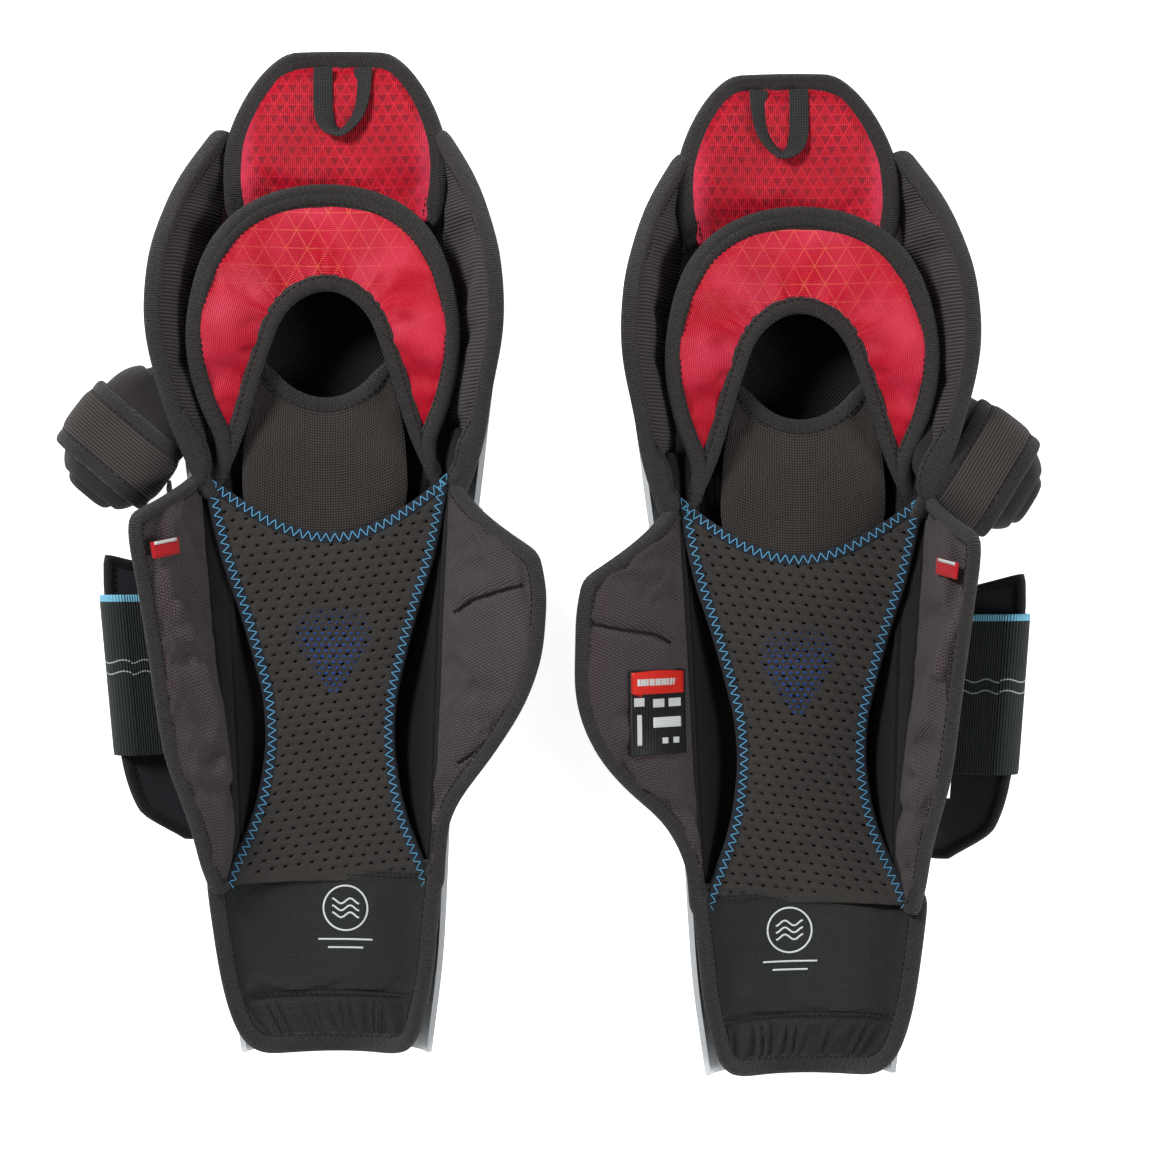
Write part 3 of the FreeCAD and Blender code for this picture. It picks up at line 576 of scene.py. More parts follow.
class Paint:
    """One material's nodes. Its coordinates are in mm: a piece's own, or the object's on CAD solids."""

    def __init__(self, name, mapped=True):
        self.material = bpy.data.materials.new(name)
        self.material.use_nodes = True
        tree = self.material.node_tree
        self.nodes, self.links = tree.nodes, tree.links
        self.shader = next(n for n in tree.nodes if n.type == "BSDF_PRINCIPLED")
        place = self.nodes.new("ShaderNodeTexCoord")
        scale = self.node("VectorMath", {0: place.outputs["UV" if mapped else "Object"]}, operation="SCALE")
        scale.inputs["Scale"].default_value = 1.0 if mapped else 1 / MM
        self.at = scale.outputs[0]
        self.u, self.v, self.w = self.node("SeparateXYZ", {0: self.at}).outputs
        plan = self.node("VectorMath", {0: place.outputs["Object"]}, operation="SCALE")
        plan.inputs["Scale"].default_value = 1 / MM
        self.x, self.y, self.z = self.node("SeparateXYZ", {0: plan.outputs[0]}).outputs
        self.normal = None

    def node(self, kind, inputs=(), **settings):
        made = self.nodes.new("ShaderNode" + kind)
        for key, value in settings.items():
            setattr(made, key, value)
        for key, value in dict(inputs).items():
            self.put(made.inputs[key], value)
        return made

    def put(self, socket, value):
        if isinstance(value, bpy.types.NodeSocket):
            self.links.new(value, socket)
        else:
            socket.default_value = value

    def m(self, operation, a, b=0.0, c=0.0):
        return self.node("Math", {0: a, 1: b, 2: c}, operation=operation).outputs[0]

    def mix(self, share, a, b):
        return self.node("Mix", {0: share, 6: a, 7: b}, data_type="RGBA").outputs[2]

    def noise(self, scale, detail=2.0, stretch=None):
        at = self.at
        if stretch:
            at = self.node("VectorMath", {0: at, 1: stretch}, operation="MULTIPLY").outputs[0]
        made = self.node("TexNoise", {"Vector": at, "Scale": scale, "Detail": detail})
        return made.outputs[0]

    def wave(self, x, pitch, shift=0.0):
        turn = self.m("MULTIPLY_ADD", x, 2 * math.pi / pitch, shift)
        return self.m("MULTIPLY_ADD", self.m("SINE", turn), 0.5, 0.5)

    def line(self, x, pitch, half):
        """1 on lines a pitch apart, falling to 0 at half a line's width."""
        near = self.m("PINGPONG", x, pitch / 2)
        return self.m("MAXIMUM", self.m("MULTIPLY_ADD", near, -1 / half, 1.0), 0.0)

    def between(self, x, low, high, soft=0.15):
        a = self.node("MapRange", {0: x, 1: low - soft, 2: low + soft}, interpolation_type="SMOOTHSTEP")
        b = self.node("MapRange", {0: x, 1: high - soft, 2: high + soft}, interpolation_type="SMOOTHSTEP")
        return self.m("SUBTRACT", a.outputs[0], b.outputs[0])

    def bump(self, height, deep):
        made = self.node("Bump", {"Height": height, "Distance": deep * MM})
        if self.normal:
            self.put(made.inputs["Normal"], self.normal)
        self.normal = made.outputs[0]

    def finish(self, colour, rough, cloud=0.16, **more):
        """Varies the colour slowly over the piece, and joins everything to the shader."""
        value = self.m("MULTIPLY_ADD", self.noise(0.035, 3), 2 * cloud, 1 - cloud)
        varied = self.node("HueSaturation", {"Value": value, "Color": colour})
        self.put(self.shader.inputs["Base Color"], varied.outputs[0])
        self.put(self.shader.inputs["Roughness"], rough)
        if self.normal:
            self.put(self.shader.inputs["Normal"], self.normal)
        for key, value in more.items():
            self.put(self.shader.inputs[key.replace("_", " ")], value)
        return self.material


def ribs(pitch, across=False):
    return lambda p: p.wave(p.v if across else p.u, pitch)


def knit(wide, tall):
    def pattern(p):
        lean = p.m("MULTIPLY_ADD", p.m("PINGPONG", p.u, wide / 2), 0.9, p.v)
        return p.m("MULTIPLY", p.wave(lean, tall), p.m("SQRT", p.wave(p.u, wide / 2, 1.6)))
    return pattern


def basket(size):
    def pattern(p):
        cell = p.m("ADD", p.m("FLOOR", p.m("DIVIDE", p.u, size)), p.m("FLOOR", p.m("DIVIDE", p.v, size)))
        odd = p.m("MODULO", p.m("ADD", cell, 2000.0), 2.0)
        ways = []
        for x, y in ((p.u, p.v), (p.v, p.u)):
            over = p.m("ABSOLUTE", p.m("SINE", p.m("MULTIPLY", y, math.pi / size)))
            strand = p.m("ABSOLUTE", p.m("SINE", p.m("MULTIPLY", x, math.pi / size)))
            ways.append(p.m("MULTIPLY", p.m("SQRT", over), strand))
        return p.m("ADD", p.m("MULTIPLY", odd, ways[0]), p.m("MULTIPLY", p.m("SUBTRACT", 1.0, odd), ways[1]))
    return pattern


def net(pitch):
    """Staggered holes, as in a spacer mesh."""
    def pattern(p):
        a = p.m("SINE", p.m("MULTIPLY", p.m("ADD", p.u, p.v), math.pi / pitch))
        b = p.m("SINE", p.m("MULTIPLY", p.m("SUBTRACT", p.u, p.v), math.pi / pitch))
        return p.m("SUBTRACT", 1.0, p.m("POWER", p.m("ABSOLUTE", p.m("MULTIPLY", a, b)), 0.7))
    return pattern


def towel(p):
    rows = p.wave(p.m("MULTIPLY_ADD", p.noise(0.9, 1), 1.1, p.v), 1.25)
    return p.m("MULTIPLY_ADD", rows, 0.6, p.m("MULTIPLY", p.noise(2.2, 2), 0.4))


def fuzz(p):
    return p.noise(1.1, 4)


def fabric(name, light, dark, pattern, deep=0.35, rough=0.9, sheen=0.25, grain=0.35, cloud=0.16, over=None):
    p = Paint(name)
    height = pattern(p)
    fine = p.noise(2.6, 2)
    share = p.m("MULTIPLY_ADD", p.m("SUBTRACT", fine, 0.5), grain, height)
    colour = p.mix(p.m("MINIMUM", p.m("MAXIMUM", share, 0.0), 1.0), rgb(*dark), rgb(*light))
    p.bump(height, deep)
    p.bump(fine, 0.12)
    if over:
        colour = over(p, colour)
    return p.finish(colour, rough, cloud, Sheen_Weight=sheen, Sheen_Roughness=0.45,
                    Specular_IOR_Level=0.25)


def plastic(name, colour, rough, grain=0.05, coat=0.0, metal=0.0, stretch=None, cloud=0.04):
    p = Paint(name, mapped=False)
    wear = p.noise(0.4, 5, stretch)
    p.bump(wear, grain)
    scuffed = p.m("MULTIPLY_ADD", p.noise(0.08, 4), 0.16, rough - 0.08)
    deeper = tuple(c * 0.9 for c in rgb(*colour)[:3]) + (1.0,)
    return p.finish(p.mix(wear, deeper, rgb(*colour)), scuffed, cloud, Coat_Weight=coat, Coat_Roughness=0.08,
                    Metallic=metal)


def grid_lines(p, pitch):
    """Positions across three sets of lines that make triangles in plan, in pitches."""
    ways = ((0.0, 1.0), (0.866, 0.5), (0.866, -0.5))
    return [p.m("DIVIDE", p.m("ADD", p.m("MULTIPLY", p.x, a), p.m("MULTIPLY", p.y, b)), pitch)
            for a, b in ways]


def triangles(pitch, half, colour, middle=None, reach=60.0, share=0.8):
    """Lines in three directions over a fabric, which fade away from a middle along it."""
    def over(p, base):
        lines = [p.line(p.m("MULTIPLY", x, pitch), pitch, half) for x in grid_lines(p, pitch)]
        on = p.m("MULTIPLY", p.m("MAXIMUM", p.m("MAXIMUM", lines[0], lines[1]), lines[2]), share)
        if middle:
            far = p.m("DIVIDE", p.m("ABSOLUTE", p.m("SUBTRACT", p.v, middle)), reach)
            on = p.m("MULTIPLY", on, p.m("MAXIMUM", p.m("SUBTRACT", 1.0, far), 0.0))
        faded = p.m("MULTIPLY", on, p.m("MULTIPLY_ADD", p.noise(0.04, 1), 1.4, -0.1))
        return p.mix(faded, base, rgb(*colour))
    return over


def cells(pitch, colour, share=0.9):
    """Triangles in plan, every other one filled, over a fabric."""
    def over(p, base):
        a, b, c = (p.m("FLOOR", x) for x in grid_lines(p, pitch))
        odd = p.m("MODULO", p.m("ADD", p.m("ADD", a, b), p.m("ADD", c, 2000.0)), 2.0)
        return p.mix(p.m("MULTIPLY", odd, p.m("MULTIPLY", p.noise(0.05, 1), share)), base, rgb(*colour))
    return over


def painted_sheen_patches(colour, scale, share):
    """Painted sheen: a paler second colour in broad soft patches, laid at random, standing in for highlights
    on a satin.
    """
    def over(p, base):
        patch = p.node("MapRange", {0: p.noise(scale, 2), 1: 0.4, 2: 0.68}, interpolation_type="SMOOTHSTEP")
        return p.mix(p.m("MULTIPLY", patch.outputs[0], share), base, rgb(*colour))
    return over


def painted_edge_highlight(half, soft, colour):
    """A painted highlight: a paler colour towards both side edges, half a width from the middle."""
    def over(p, base):
        edge = p.node("MapRange", {0: p.m("ABSOLUTE", p.u), 1: half - soft, 2: half},
                      interpolation_type="SMOOTHSTEP")
        return p.mix(p.m("MULTIPLY", edge.outputs[0], 0.6), base, rgb(*colour))
    return over


def speckle(share, colour, scale=3.0):
    def over(p, base):
        dots = p.between(p.noise(scale, 1), 0.5 + share, 2.0, 0.03)
        return p.mix(p.m("MULTIPLY", dots, 0.7), base, rgb(*colour))
    return over


def both(*overs):
    def over(p, base):
        for each in overs:
            base = each(p, base)
        return base
    return over


def strap_marks(width):
    """The calf strap's pale blue edge and its two wavy lines, across a width from -width/2."""
    def over(p, base):
        base = p.mix(p.between(p.v, width - 3.2, width + 9), base, rgb(118, 186, 214))
        sway = p.m("MULTIPLY", p.m("SUBTRACT", p.wave(p.u, 15.0), 0.5), 1.8)
        for at in (0.52, 0.59):
            y = p.m("SUBTRACT", p.v, p.m("MULTIPLY_ADD", sway, 1.0, at * width))
            base = p.mix(p.between(y, -0.3, 0.3, 0.2), base, rgb(176, 182, 184))
        return base
    return over


M = {
    "white": plastic("shell_white", (214, 218, 221), 0.28, coat=0.35),
    "blue": plastic("shell_blue", (26, 58, 120), 0.34, coat=0.2),
    "black": plastic("black_plastic", (28, 29, 31), 0.45, grain=0.12),
    "wing": plastic("wing_plastic", (44, 45, 49), 0.52, grain=0.2),
    "steel": plastic("pin_steel", (196, 198, 202), 0.3, grain=0.02, metal=1.0, stretch=(1, 8, 8)),
    "hook": plastic("hook_tape", (20, 20, 22), 0.9, grain=0.6),
    "lining": fabric("lining_brushed", (26, 24, 23), (9, 8, 8), fuzz, 0.5, sheen=0.06),
    "foam": fabric("foam", (30, 30, 32), (14, 14, 16), fuzz, 0.6, sheen=0.04),
    "navy": fabric("lining_edge", (30, 29, 29), (12, 11, 11), towel, 0.6, sheen=0.08),
    "towel": fabric("binding_towelling", (66, 61, 61), (13, 12, 12), towel, 1.4, sheen=0.12, grain=1.0),
    "spacer": fabric("spacer_mesh", (46, 45, 45), (10, 10, 11), net(2.3), 0.9, sheen=0.03),
    # the pale pink patches on the cushion satin are painted sheen highlights, spread at random
    "red": fabric("cushion_satin", (204, 10, 44), (156, 0, 26), ribs(1.1), 0.25, rough=0.5, sheen=0.05,
                  grain=0.8, over=both(painted_sheen_patches((224, 66, 94), 0.022, 0.55), speckle(0.12, (104, 12, 42)),
                                       triangles(9.6, 0.4, (240, 128, 88), 130.0, 62.0))),
    # the paler pink towards the thigh pad's side edges is a painted highlight
    "print": fabric("thigh_print", (196, 4, 36), (140, 0, 20), ribs(1.1), 0.25, rough=0.55, sheen=0.04,
                    grain=0.7, over=both(cells(5.6, (88, 6, 28)), triangles(5.6, 0.4, (244, 36, 66)),
                                         painted_edge_highlight(54.0, 13.0, (226, 62, 94)))),
    "basket": fabric("tongue_basket", (72, 67, 64), (26, 24, 23), basket(1.4), 0.7, rough=0.85, sheen=0.05),
    "sling": fabric("sling_stretch", (80, 75, 71), (42, 40, 38), knit(1.3, 1.0), 0.4, rough=0.65, sheen=0.06),
    "border": fabric("sling_border", (44, 50, 60), (22, 25, 31), basket(0.9), 0.4, sheen=0.06),
    "thread": fabric("thread_dark", (38, 34, 35), (18, 16, 17), ribs(0.8, True), 0.12, sheen=0.05),
    "light": fabric("thread_blue", (118, 188, 224), (66, 138, 186), ribs(0.8, True), 0.12, sheen=0.1),
    "nylon": fabric("panel_nylon", (50, 53, 53), (24, 26, 26), basket(1.1), 0.4, rough=0.5, sheen=0.04),
    "knit": fabric("flap_knit", (106, 92, 95), (46, 39, 41), knit(2.2, 1.8), 0.9, sheen=0.12),
    "shade": fabric("flap_back", (42, 39, 41), (16, 15, 17), knit(1.7, 1.3), 0.6, sheen=0.05),
    "plate": fabric("plate_plastic", (34, 35, 37), (22, 23, 25), fuzz, 0.1, rough=0.5, sheen=0.0),
    "ribbed": fabric("wing_ribs", (86, 79, 80), (36, 32, 33), ribs(1.9, True), 0.8, sheen=0.1),
    "tape": fabric("loop_tape", (62, 63, 63), (24, 25, 25), basket(1.4), 0.6, sheen=0.05),
    "neoprene": fabric("neoprene", (62, 58, 56), (34, 31, 30), knit(1.2, 1.0), 0.3, rough=0.75, sheen=0.08),
    "band": fabric("band_ribs", (74, 69, 67), (38, 35, 34), ribs(1.7, True), 0.6, sheen=0.08),
    "elastic": fabric("calf_elastic", (52, 58, 57), (29, 33, 32), ribs(1.5), 0.45, sheen=0.05,
                      over=strap_marks(86.0)),
    "tag": fabric("tag_red", (216, 34, 44), (160, 18, 26), basket(0.8), 0.2, sheen=0.1),
    "label": fabric("label_black", (42, 42, 44), (18, 18, 20), ribs(2.2, True), 0.06, rough=0.4, sheen=0.0),
    "head": fabric("label_red", (222, 52, 40), (206, 40, 32), fuzz, 0.03, rough=0.4, sheen=0.0),
    "ink": fabric("print_white", (226, 230, 228), (190, 194, 192), basket(0.8), 0.1, rough=0.6, sheen=0.0),
    "blue_ink": fabric("print_blue", (40, 78, 142), (26, 56, 112), basket(0.8), 0.1, rough=0.6, sheen=0.0),
}


# ------------------------------------------------------------------ surfaces of the guard
def sling_z(x, y):
    return through(SLING_Z, y) + through(SLING_BOW, y) * x * x


def sling_edges(y):
    middle, half = through(SLING_MIDDLE, y), through(SLING_HALF, y)
    return middle - half, middle + half


def sling_point(s, t):
    y = mix(SLING_FROM, SLING_DIP + SLING_RISE * (2 * t - 1) ** 2, s)
    low, high = sling_edges(y)
    x = mix(low, high, t)
    return x, y, sling_z(x, y)


def ankle_point(y_from, y_to, lift=0.0, slope=0.0):
    """The ankle panel, whose top edge may rise towards the inner side."""
    def point(s, t):
        y = mix(y_from, y_to + slope * (100 * t - 50), s)
        low, high = -through(PANEL_OUTER, y), through(PANEL_INNER, y)
        x, u = mix(low, high, t), (2 * t - 1) ** 2
        edge_z = through(SHIN[2], y) + PANEL_RISE
        return x, y, PANEL_Z + lift + (edge_z - PANEL_Z) * (0.65 * u + 0.35 * u * u)
    return point


def tongue_point(s, t):
    side = 2 * t - 1
    y = mix(262.0, 350.0 + 23.0 * side * side, s)
    x = side * through(TONGUE_HALF, y) - 5.5
    return x, y, through(TONGUE_Z, y) + BOW * x * x


def flap_root(y, side):
    return side * through(OUTER_ROOT_X if side < 0 else INNER_ROOT_X, y), y, through(FLAP_ROOT_Z, y)


def flap_surface(side, lean, wide, drop, gap=1.5, more=((0, 0), (1, 0))):
    def point(s, t):
        y = mix(FLAP_FROM, FLAP_TO - drop * t, s)
        run = (through(wide, y) + through(more, y) + FLAP_MORE) * t + gap
        turn = math.radians(lean + FLAP_CURL * (0.5 - 0.5 * t))
        x, _, z = flap_root(y, side)
        return x + side * run * math.cos(turn), y, z + run * math.sin(turn)
    return point


def horse_point(degrees, t):
    """The horseshoe cushion, by angle from the thigh end; t runs from the hole to the outer edge."""
    a, far = math.radians(degrees), abs(degrees)
    r = mix(through(RED_INNER, far) - 3.0, through(RED_OUTER, far) + 3.4, t)
    x, y = HORSE_X + r * math.sin(a), HORSE_Y + r * math.cos(a)
    return x, y, through(HORSE_Z, y) + BOW * x * x


def wing_surface(side):
    def point(s, t):
        y = mix(303, 495, s)
        x = mix(through(KWING_ROOT_X, y), through(KWING_EDGE_X, y), t)
        x -= 5 * ease((y - 316) / 50) if side > 0 else 0
        return side * x, y, mix(through(KWING_ROOT_Z, y), through(KWING_EDGE_Z, y), t)
    return point


def thigh_point(s, t):
    side = 2 * t - 1
    y = mix(449.0, 536.8 - 1.0 * side * side, s)
    x = side * through(THIGH_HALF, y) + 1.5 * s
    return x, y, THIGH_Z + BOW * x * x


def fin_axis():
    (xa, za), (xb, zb) = WING_ROOT
    tilt = math.radians(WING_TILT)
    low, high = np.array((xa, WING_FROM, za)), np.array((xb, WING_TO, zb))
    return low, high, np.array((-math.cos(tilt), 0.0, math.sin(tilt)))


def fin_point(s, t):
    low, high, out = fin_axis()
    y = mix(WING_FROM, WING_TO + WING_RISE * t, s)
    root = np.array((mix(low[0], high[0], s), y, mix(low[2], high[2], s)))
    return root + out * through(WING_WIDE, y) * t


def stadium(half_long, half_high, step=1.6):
    """Points once round two straights and two half rounds, and the distance along them."""
    flat = half_long - half_high
    n = max(6, int(math.pi * half_high / step))
    m = max(2, int(2 * flat / step))
    a = np.linspace(math.pi / 2, -math.pi / 2, n + 1)[:-1]
    right = np.stack([flat + half_high * np.cos(a), half_high * np.sin(a)], 1)
    bottom = np.stack([np.linspace(flat, -flat, m + 1)[:-1], np.full(m, -half_high)], 1)
    return np.concatenate([right, bottom, -right, -bottom])


# ------------------------------------------------------------------ shared ways to make a piece
def edge(p, edges, step=2.6, out=0.0, lift=0.0):
    points, outs, ups = rim_path(p, edges)
    points, outs, ups = resample(points, step, outs, ups)
    outs, ups = unit(outs), unit(ups)
    return points + outs * out + ups * lift, outs, ups


def bind(guard, name, path, body, slot, material="towel", out=3.0, high=3.1, back=6.2, sew=None,
         closed=False, between=None, seam="thread", roll=None):
    """A binding folded round an edge, with a row of stitches in its inner border.

    roll is the radius of a fatter roll outside it, and how far out its centre is along the path.
    """
    points, outs, ups = path
    scale = None if closed else taper(len(points))
    mesh = sweep(Mesh(), path, teardrop(out, high, back), closed, scale)
    if roll:
        size, far = roll
        far = np.broadcast_to(np.asarray(far, float), len(points))[:, None]
        centre = points + outs * far - ups * 0.4
        sweep(mesh, (centre, outs, ups), teardrop(size, size, size, 14, 0.0), closed, scale)
    mesh.use(1)
    if sew:
        straight_stitches(mesh, path, -0.62 * back, 0.62 * high)
    made = mesh.build(guard, name, [M[material], M[seam]])
    return finish_piece(made, guard, body, between=between)


def padded_piece(guard, name, key, body, material, middle, thick, size, replaces, sim=None,
                 soft=0, share=0.5, power=4.0, shape=None, back=None):
    """A closed pad over a middle surface. shape moves its upper face, given (face, s, t)."""
    top, bottom, flat, s, t = pillow(key, middle, thick, *size, soft, share, sim, power)
    if shape:
        top = shape(top, s, t)
    u, v = grid_uv(flat)
    mesh = Mesh().lattice(top, u, v).use(1 if back else 0).lattice(bottom, u, v)
    made = mesh.build(guard, name, [M[material]] + ([M[back]] if back else []))
    finish_piece(made, guard, body, replaces)
    return top, flat


def groove(x, at, half, deep):
    return -deep * np.exp(-(((x - at) / half) ** 2))


def near_line(p, line):
    """The distance in plan from each grid point to a line of (x, y) points."""
    line = np.array(line, float)
    best = np.full(p.shape[:2], 1e9)
    for a, b in zip(line, line[1:]):
        d = b - a
        k = np.clip(((p[..., :2] - a) @ d) / (d @ d), 0, 1)
        best = np.minimum(best, np.linalg.norm(p[..., :2] - a - k[..., None] * d, axis=-1))
    return best


# ------------------------------------------------------------------ the leg side
def make_lining(guard):
    def middle(s, t):
        y = mix(LINING_FROM, 300, s)
        wrap = mix(58.0, LINING_WRAP, ease((y - 84) / 24))
        return wall(SHIN, y, mix(-wrap, wrap, t), 7.7)

    def quilt(top, s, t):
        return press(top, groove(t, 0.27, 0.012, 1.2) + groove(t, 0.73, 0.012, 1.2))
    _, flat = padded_piece(guard, "leg_lining", "lining", "shin", "lining", middle,
                           lambda s, t: 6.2, (34, 34), ["shin_lining"], power=9, shape=quilt)
    for name, letter in (("outer", "b"), ("inner", "d")):
        points, outs, ups = edge(flat, letter, 3.5)
        seen = points[:, 1] > 104
        bind(guard, f"{name}_lining_binding", (points[seen], outs[seen], ups[seen]), "shin", "lining",
             "navy", 1.6, 3.3, 5.0, "line")


def make_sling(guard):
    """A stretched sheet with rows of slanted oval holes."""
    lean, pitch, row = math.radians(8), 7.1, 5.0
    r = np.array((math.cos(lean), math.sin(lean))) * pitch
    c = r / 2 + np.array((-math.sin(lean), math.cos(lean))) * row
    ring = [mix(-0.5, 0.5, k / 4) for k in range(4)]
    corners = [(a, -0.5) for a in ring] + [(0.5, a) for a in ring] + [(-a, 0.5) for a in ring]
    corners += [(-0.5, -a) for a in ring]
    cell = np.array([a * r + b * c for a, b in corners])
    turn = math.radians(24)
    around = np.arctan2(cell[:, 1], cell[:, 0])
    oval = np.stack([1.15 * np.cos(around - turn), 0.62 * np.sin(around - turn)], 1)
    oval = oval @ np.array(((math.cos(turn), math.sin(turn)), (-math.sin(turn), math.cos(turn))))
    mesh = Mesh()

    def inside(q, margin):
        low, high = sling_edges(q[1])
        side = min(1.0, abs((2 * q[0] - low - high) / (high - low)))
        top = SLING_DIP + SLING_RISE * side ** 2
        return low + margin < q[0] < high - margin and SLING_FROM + margin < q[1] < top - margin

    def held(q):
        y = max(q[1], SLING_FROM)
        low, high = sling_edges(y)
        x = max(low, min(high, q[0]))
        return x, min(y, SLING_DIP + SLING_RISE * ((2 * x - low - high) / (high - low)) ** 2)

    def level(q, lift):
        x, y = held(q)
        wrinkle = 0.25 * math.sin(0.21 * y + 0.05 * x) * math.cos(0.11 * x)
        return x, y, sling_z(x, y) + lift + wrinkle

    for i in range(-32, 33):
        for j in range(-24, 32):
            centre = np.array((0.0, 180.0)) + i * r + j * c
            if not inside(centre, -6.0):
                continue
            rim = cell + centre
            hole = (oval if inside(centre, 5.6) else 0.02 * oval) + centre
            bands = [(rim, 1.0), (hole, 1.0), (hole, -1.0), (rim, -1.0)]
            p = np.array([[level(q, lift) for q in loop] for loop, lift in bands])
            flat = np.array([loop for loop, _ in bands])
            flat = np.concatenate([flat, flat[:, :1]], 1)
            mesh.lattice(p, flat[..., 0], flat[..., 1], wrap=True)
    sling = mesh.build(guard, "air_sling", M["sling"])
    finish_piece(sling, guard, "shin", ["air_sling"])

    p = grid(sling_point, np.linspace(0, 1, 60), np.linspace(0, 1, 30))
    path = edge(p, "bcd", 2.4, out=-2.6)
    mesh = sweep(Mesh(), path, slab_section(-3.2, 3.2, 1.7), False, taper(len(path[0]), 3, 0.8)).use(1)
    zigzag_stitches(mesh, path, -2.4, 2.4, 1.95, 5.0, 0.3)
    made = mesh.build(guard, "sling_border", [M["border"], M["light"]])
    finish_piece(made, guard, "shin")

    mesh = Mesh()
    shield = ((195, 1.5), (203, 7), (214, 14), (224, 19.5), (234, 20.5), (241, 15))
    a = np.linspace(0, 2 * math.pi, 9)[:-1]
    for i in range(-6, 7):
        for j in range(-7, 8):
            x, y = 3.9 * i + (1.95 if j % 2 else 0.0) - 2.0, 218.0 + 3.1 * j
            near = 1 - abs(x + 2.0) / through(shield, y)
            size = 1.15 * min(1.0, 0.55 + 2 * near) * (1 - 0.45 * ease((y - 222) / 18))
            if near > 0:
                rings = [[(x + size * k * math.cos(b), y + 0.8 * size * k * math.sin(b),
                           sling_z(x, y) + h) for b in a] for k, h in ((1.0, 0.9), (1.0, 1.3), (0.6, 1.4))]
                mesh.lattice(np.array(rings), 0.0, 0.0, wrap=True).cap(rings[-1])
    finish_piece(mesh.build(guard, "sling_dots", M["blue_ink"]), guard, "shin")


def make_ankle(guard):
    def hem(top, s, t):
        return press(top, groove(s, 0.955, 0.02, 1.3) + groove(s, 0.035, 0.02, 1.2))
    top, _ = padded_piece(guard, "ankle_panel", "panel", "shin", "nylon",
                          ankle_point(28.2, PANEL_TOP, 0.6, PANEL_SLOPE), lambda s, t: 4.4, (26, 26),
                          ["ankle_panel"], (3.0, 0.02, 2.0), power=6, shape=hem)

    def pleats(top, s, t):
        fold = np.sin(74 * (t - 0.5) + 5 * s + 2.2 * np.sin(9 * t) + 1.3 * np.sin(31 * t + 1))
        return press(top, 2.1 * fold * np.sin(math.pi * np.clip(s, 0, 1)) ** 0.6 - 0.3)
    padded_piece(guard, "ankle_cuff", "cuff", "shin", "nylon", ankle_point(5.5, 28.6, 0.3),
                 lambda s, t: 4.6, (8, 44), ["ankle_cuff"], power=4, shape=pleats)
    whole = grid(ankle_point(4.6, 103.0, 0.6), np.linspace(0, 1, 60), np.linspace(0, 1, 46))
    whole = soften(whole, 30)
    bind(guard, "ankle_binding", edge(whole, "dab", 2.4, out=0.6), "shin", "nylon", "towel", 3.4, 3.4, 5.6,
         "line", roll=(3.7, 1.6))
    mesh = Mesh()
    for y, slope in ((30.0, 0.0), (PANEL_TOP - 4, PANEL_SLOPE)):
        for more in (0.0, 2.0):
            row = ankle_point(y + more, y + more, 0.0, slope)
            line = grid(row, [0.0, 1.0], np.linspace(0.06, 0.94, 60))[0]
            path = on_face(top, line[:, :2], 0.15)
            straight_stitches(mesh, resample(path[0], 1.75, path[1], path[2]), 0.0, 0.1)
    finish_piece(mesh.build(guard, "ankle_stitches", M["thread"]), guard, "shin")

    # a printed ring with three wave lines in it, and a thin rule below
    turn, x = np.linspace(0, 2 * math.pi, 61), np.linspace(-7.5, 7.5, 22)
    at = [np.stack([4.0 + 12.2 * np.cos(turn), 77.0 + 12.2 * np.sin(turn)], 1)]
    at += [np.stack([4.0 + x, 77.0 + lift + 1.4 * np.sin(0.62 * x)], 1) for lift in (-3.8, 0.0, 3.8)]
    at += [np.stack([4.0 + 2.0 * x, np.full(22, 60.0)], 1), np.stack([4.0 + 1.3 * x, np.full(22, 55.5)], 1)]
    mesh = Mesh()
    for line in at:
        sweep(mesh, on_face(top, line, 0.15), slab_section(-0.5, 0.5, 0.16, 8))
    finish_piece(mesh.build(guard, "ankle_print", M["ink"]), guard, "shin")


def on_face(top, line, lift):
    """A path along plan points on a face that looks up."""
    points = drape(top, line[:, 0], line[:, 1], lift)
    count = (len(points), 1)
    return path_frames(points, np.tile((0.0, 1.0, 0.0), count), np.tile((0.0, 0.0, 1.0), count))


def make_tongue(guard):
    _, flat = padded_piece(guard, "tongue", "tongue", "shin", "basket", tongue_point,
                           lambda s, t: mix(3.0, 7.5, 1 - (2 * t - 1) ** 2), (26, 24), ["tongue_pad"],
                           (4.0, 0.03, 3.0))
    bind(guard, "tongue_binding", edge(flat, "c", 2.4, out=1.0, lift=0.4), "shin", "grey_weave", "towel", 4.2,
         3.4, 5.6, "line")


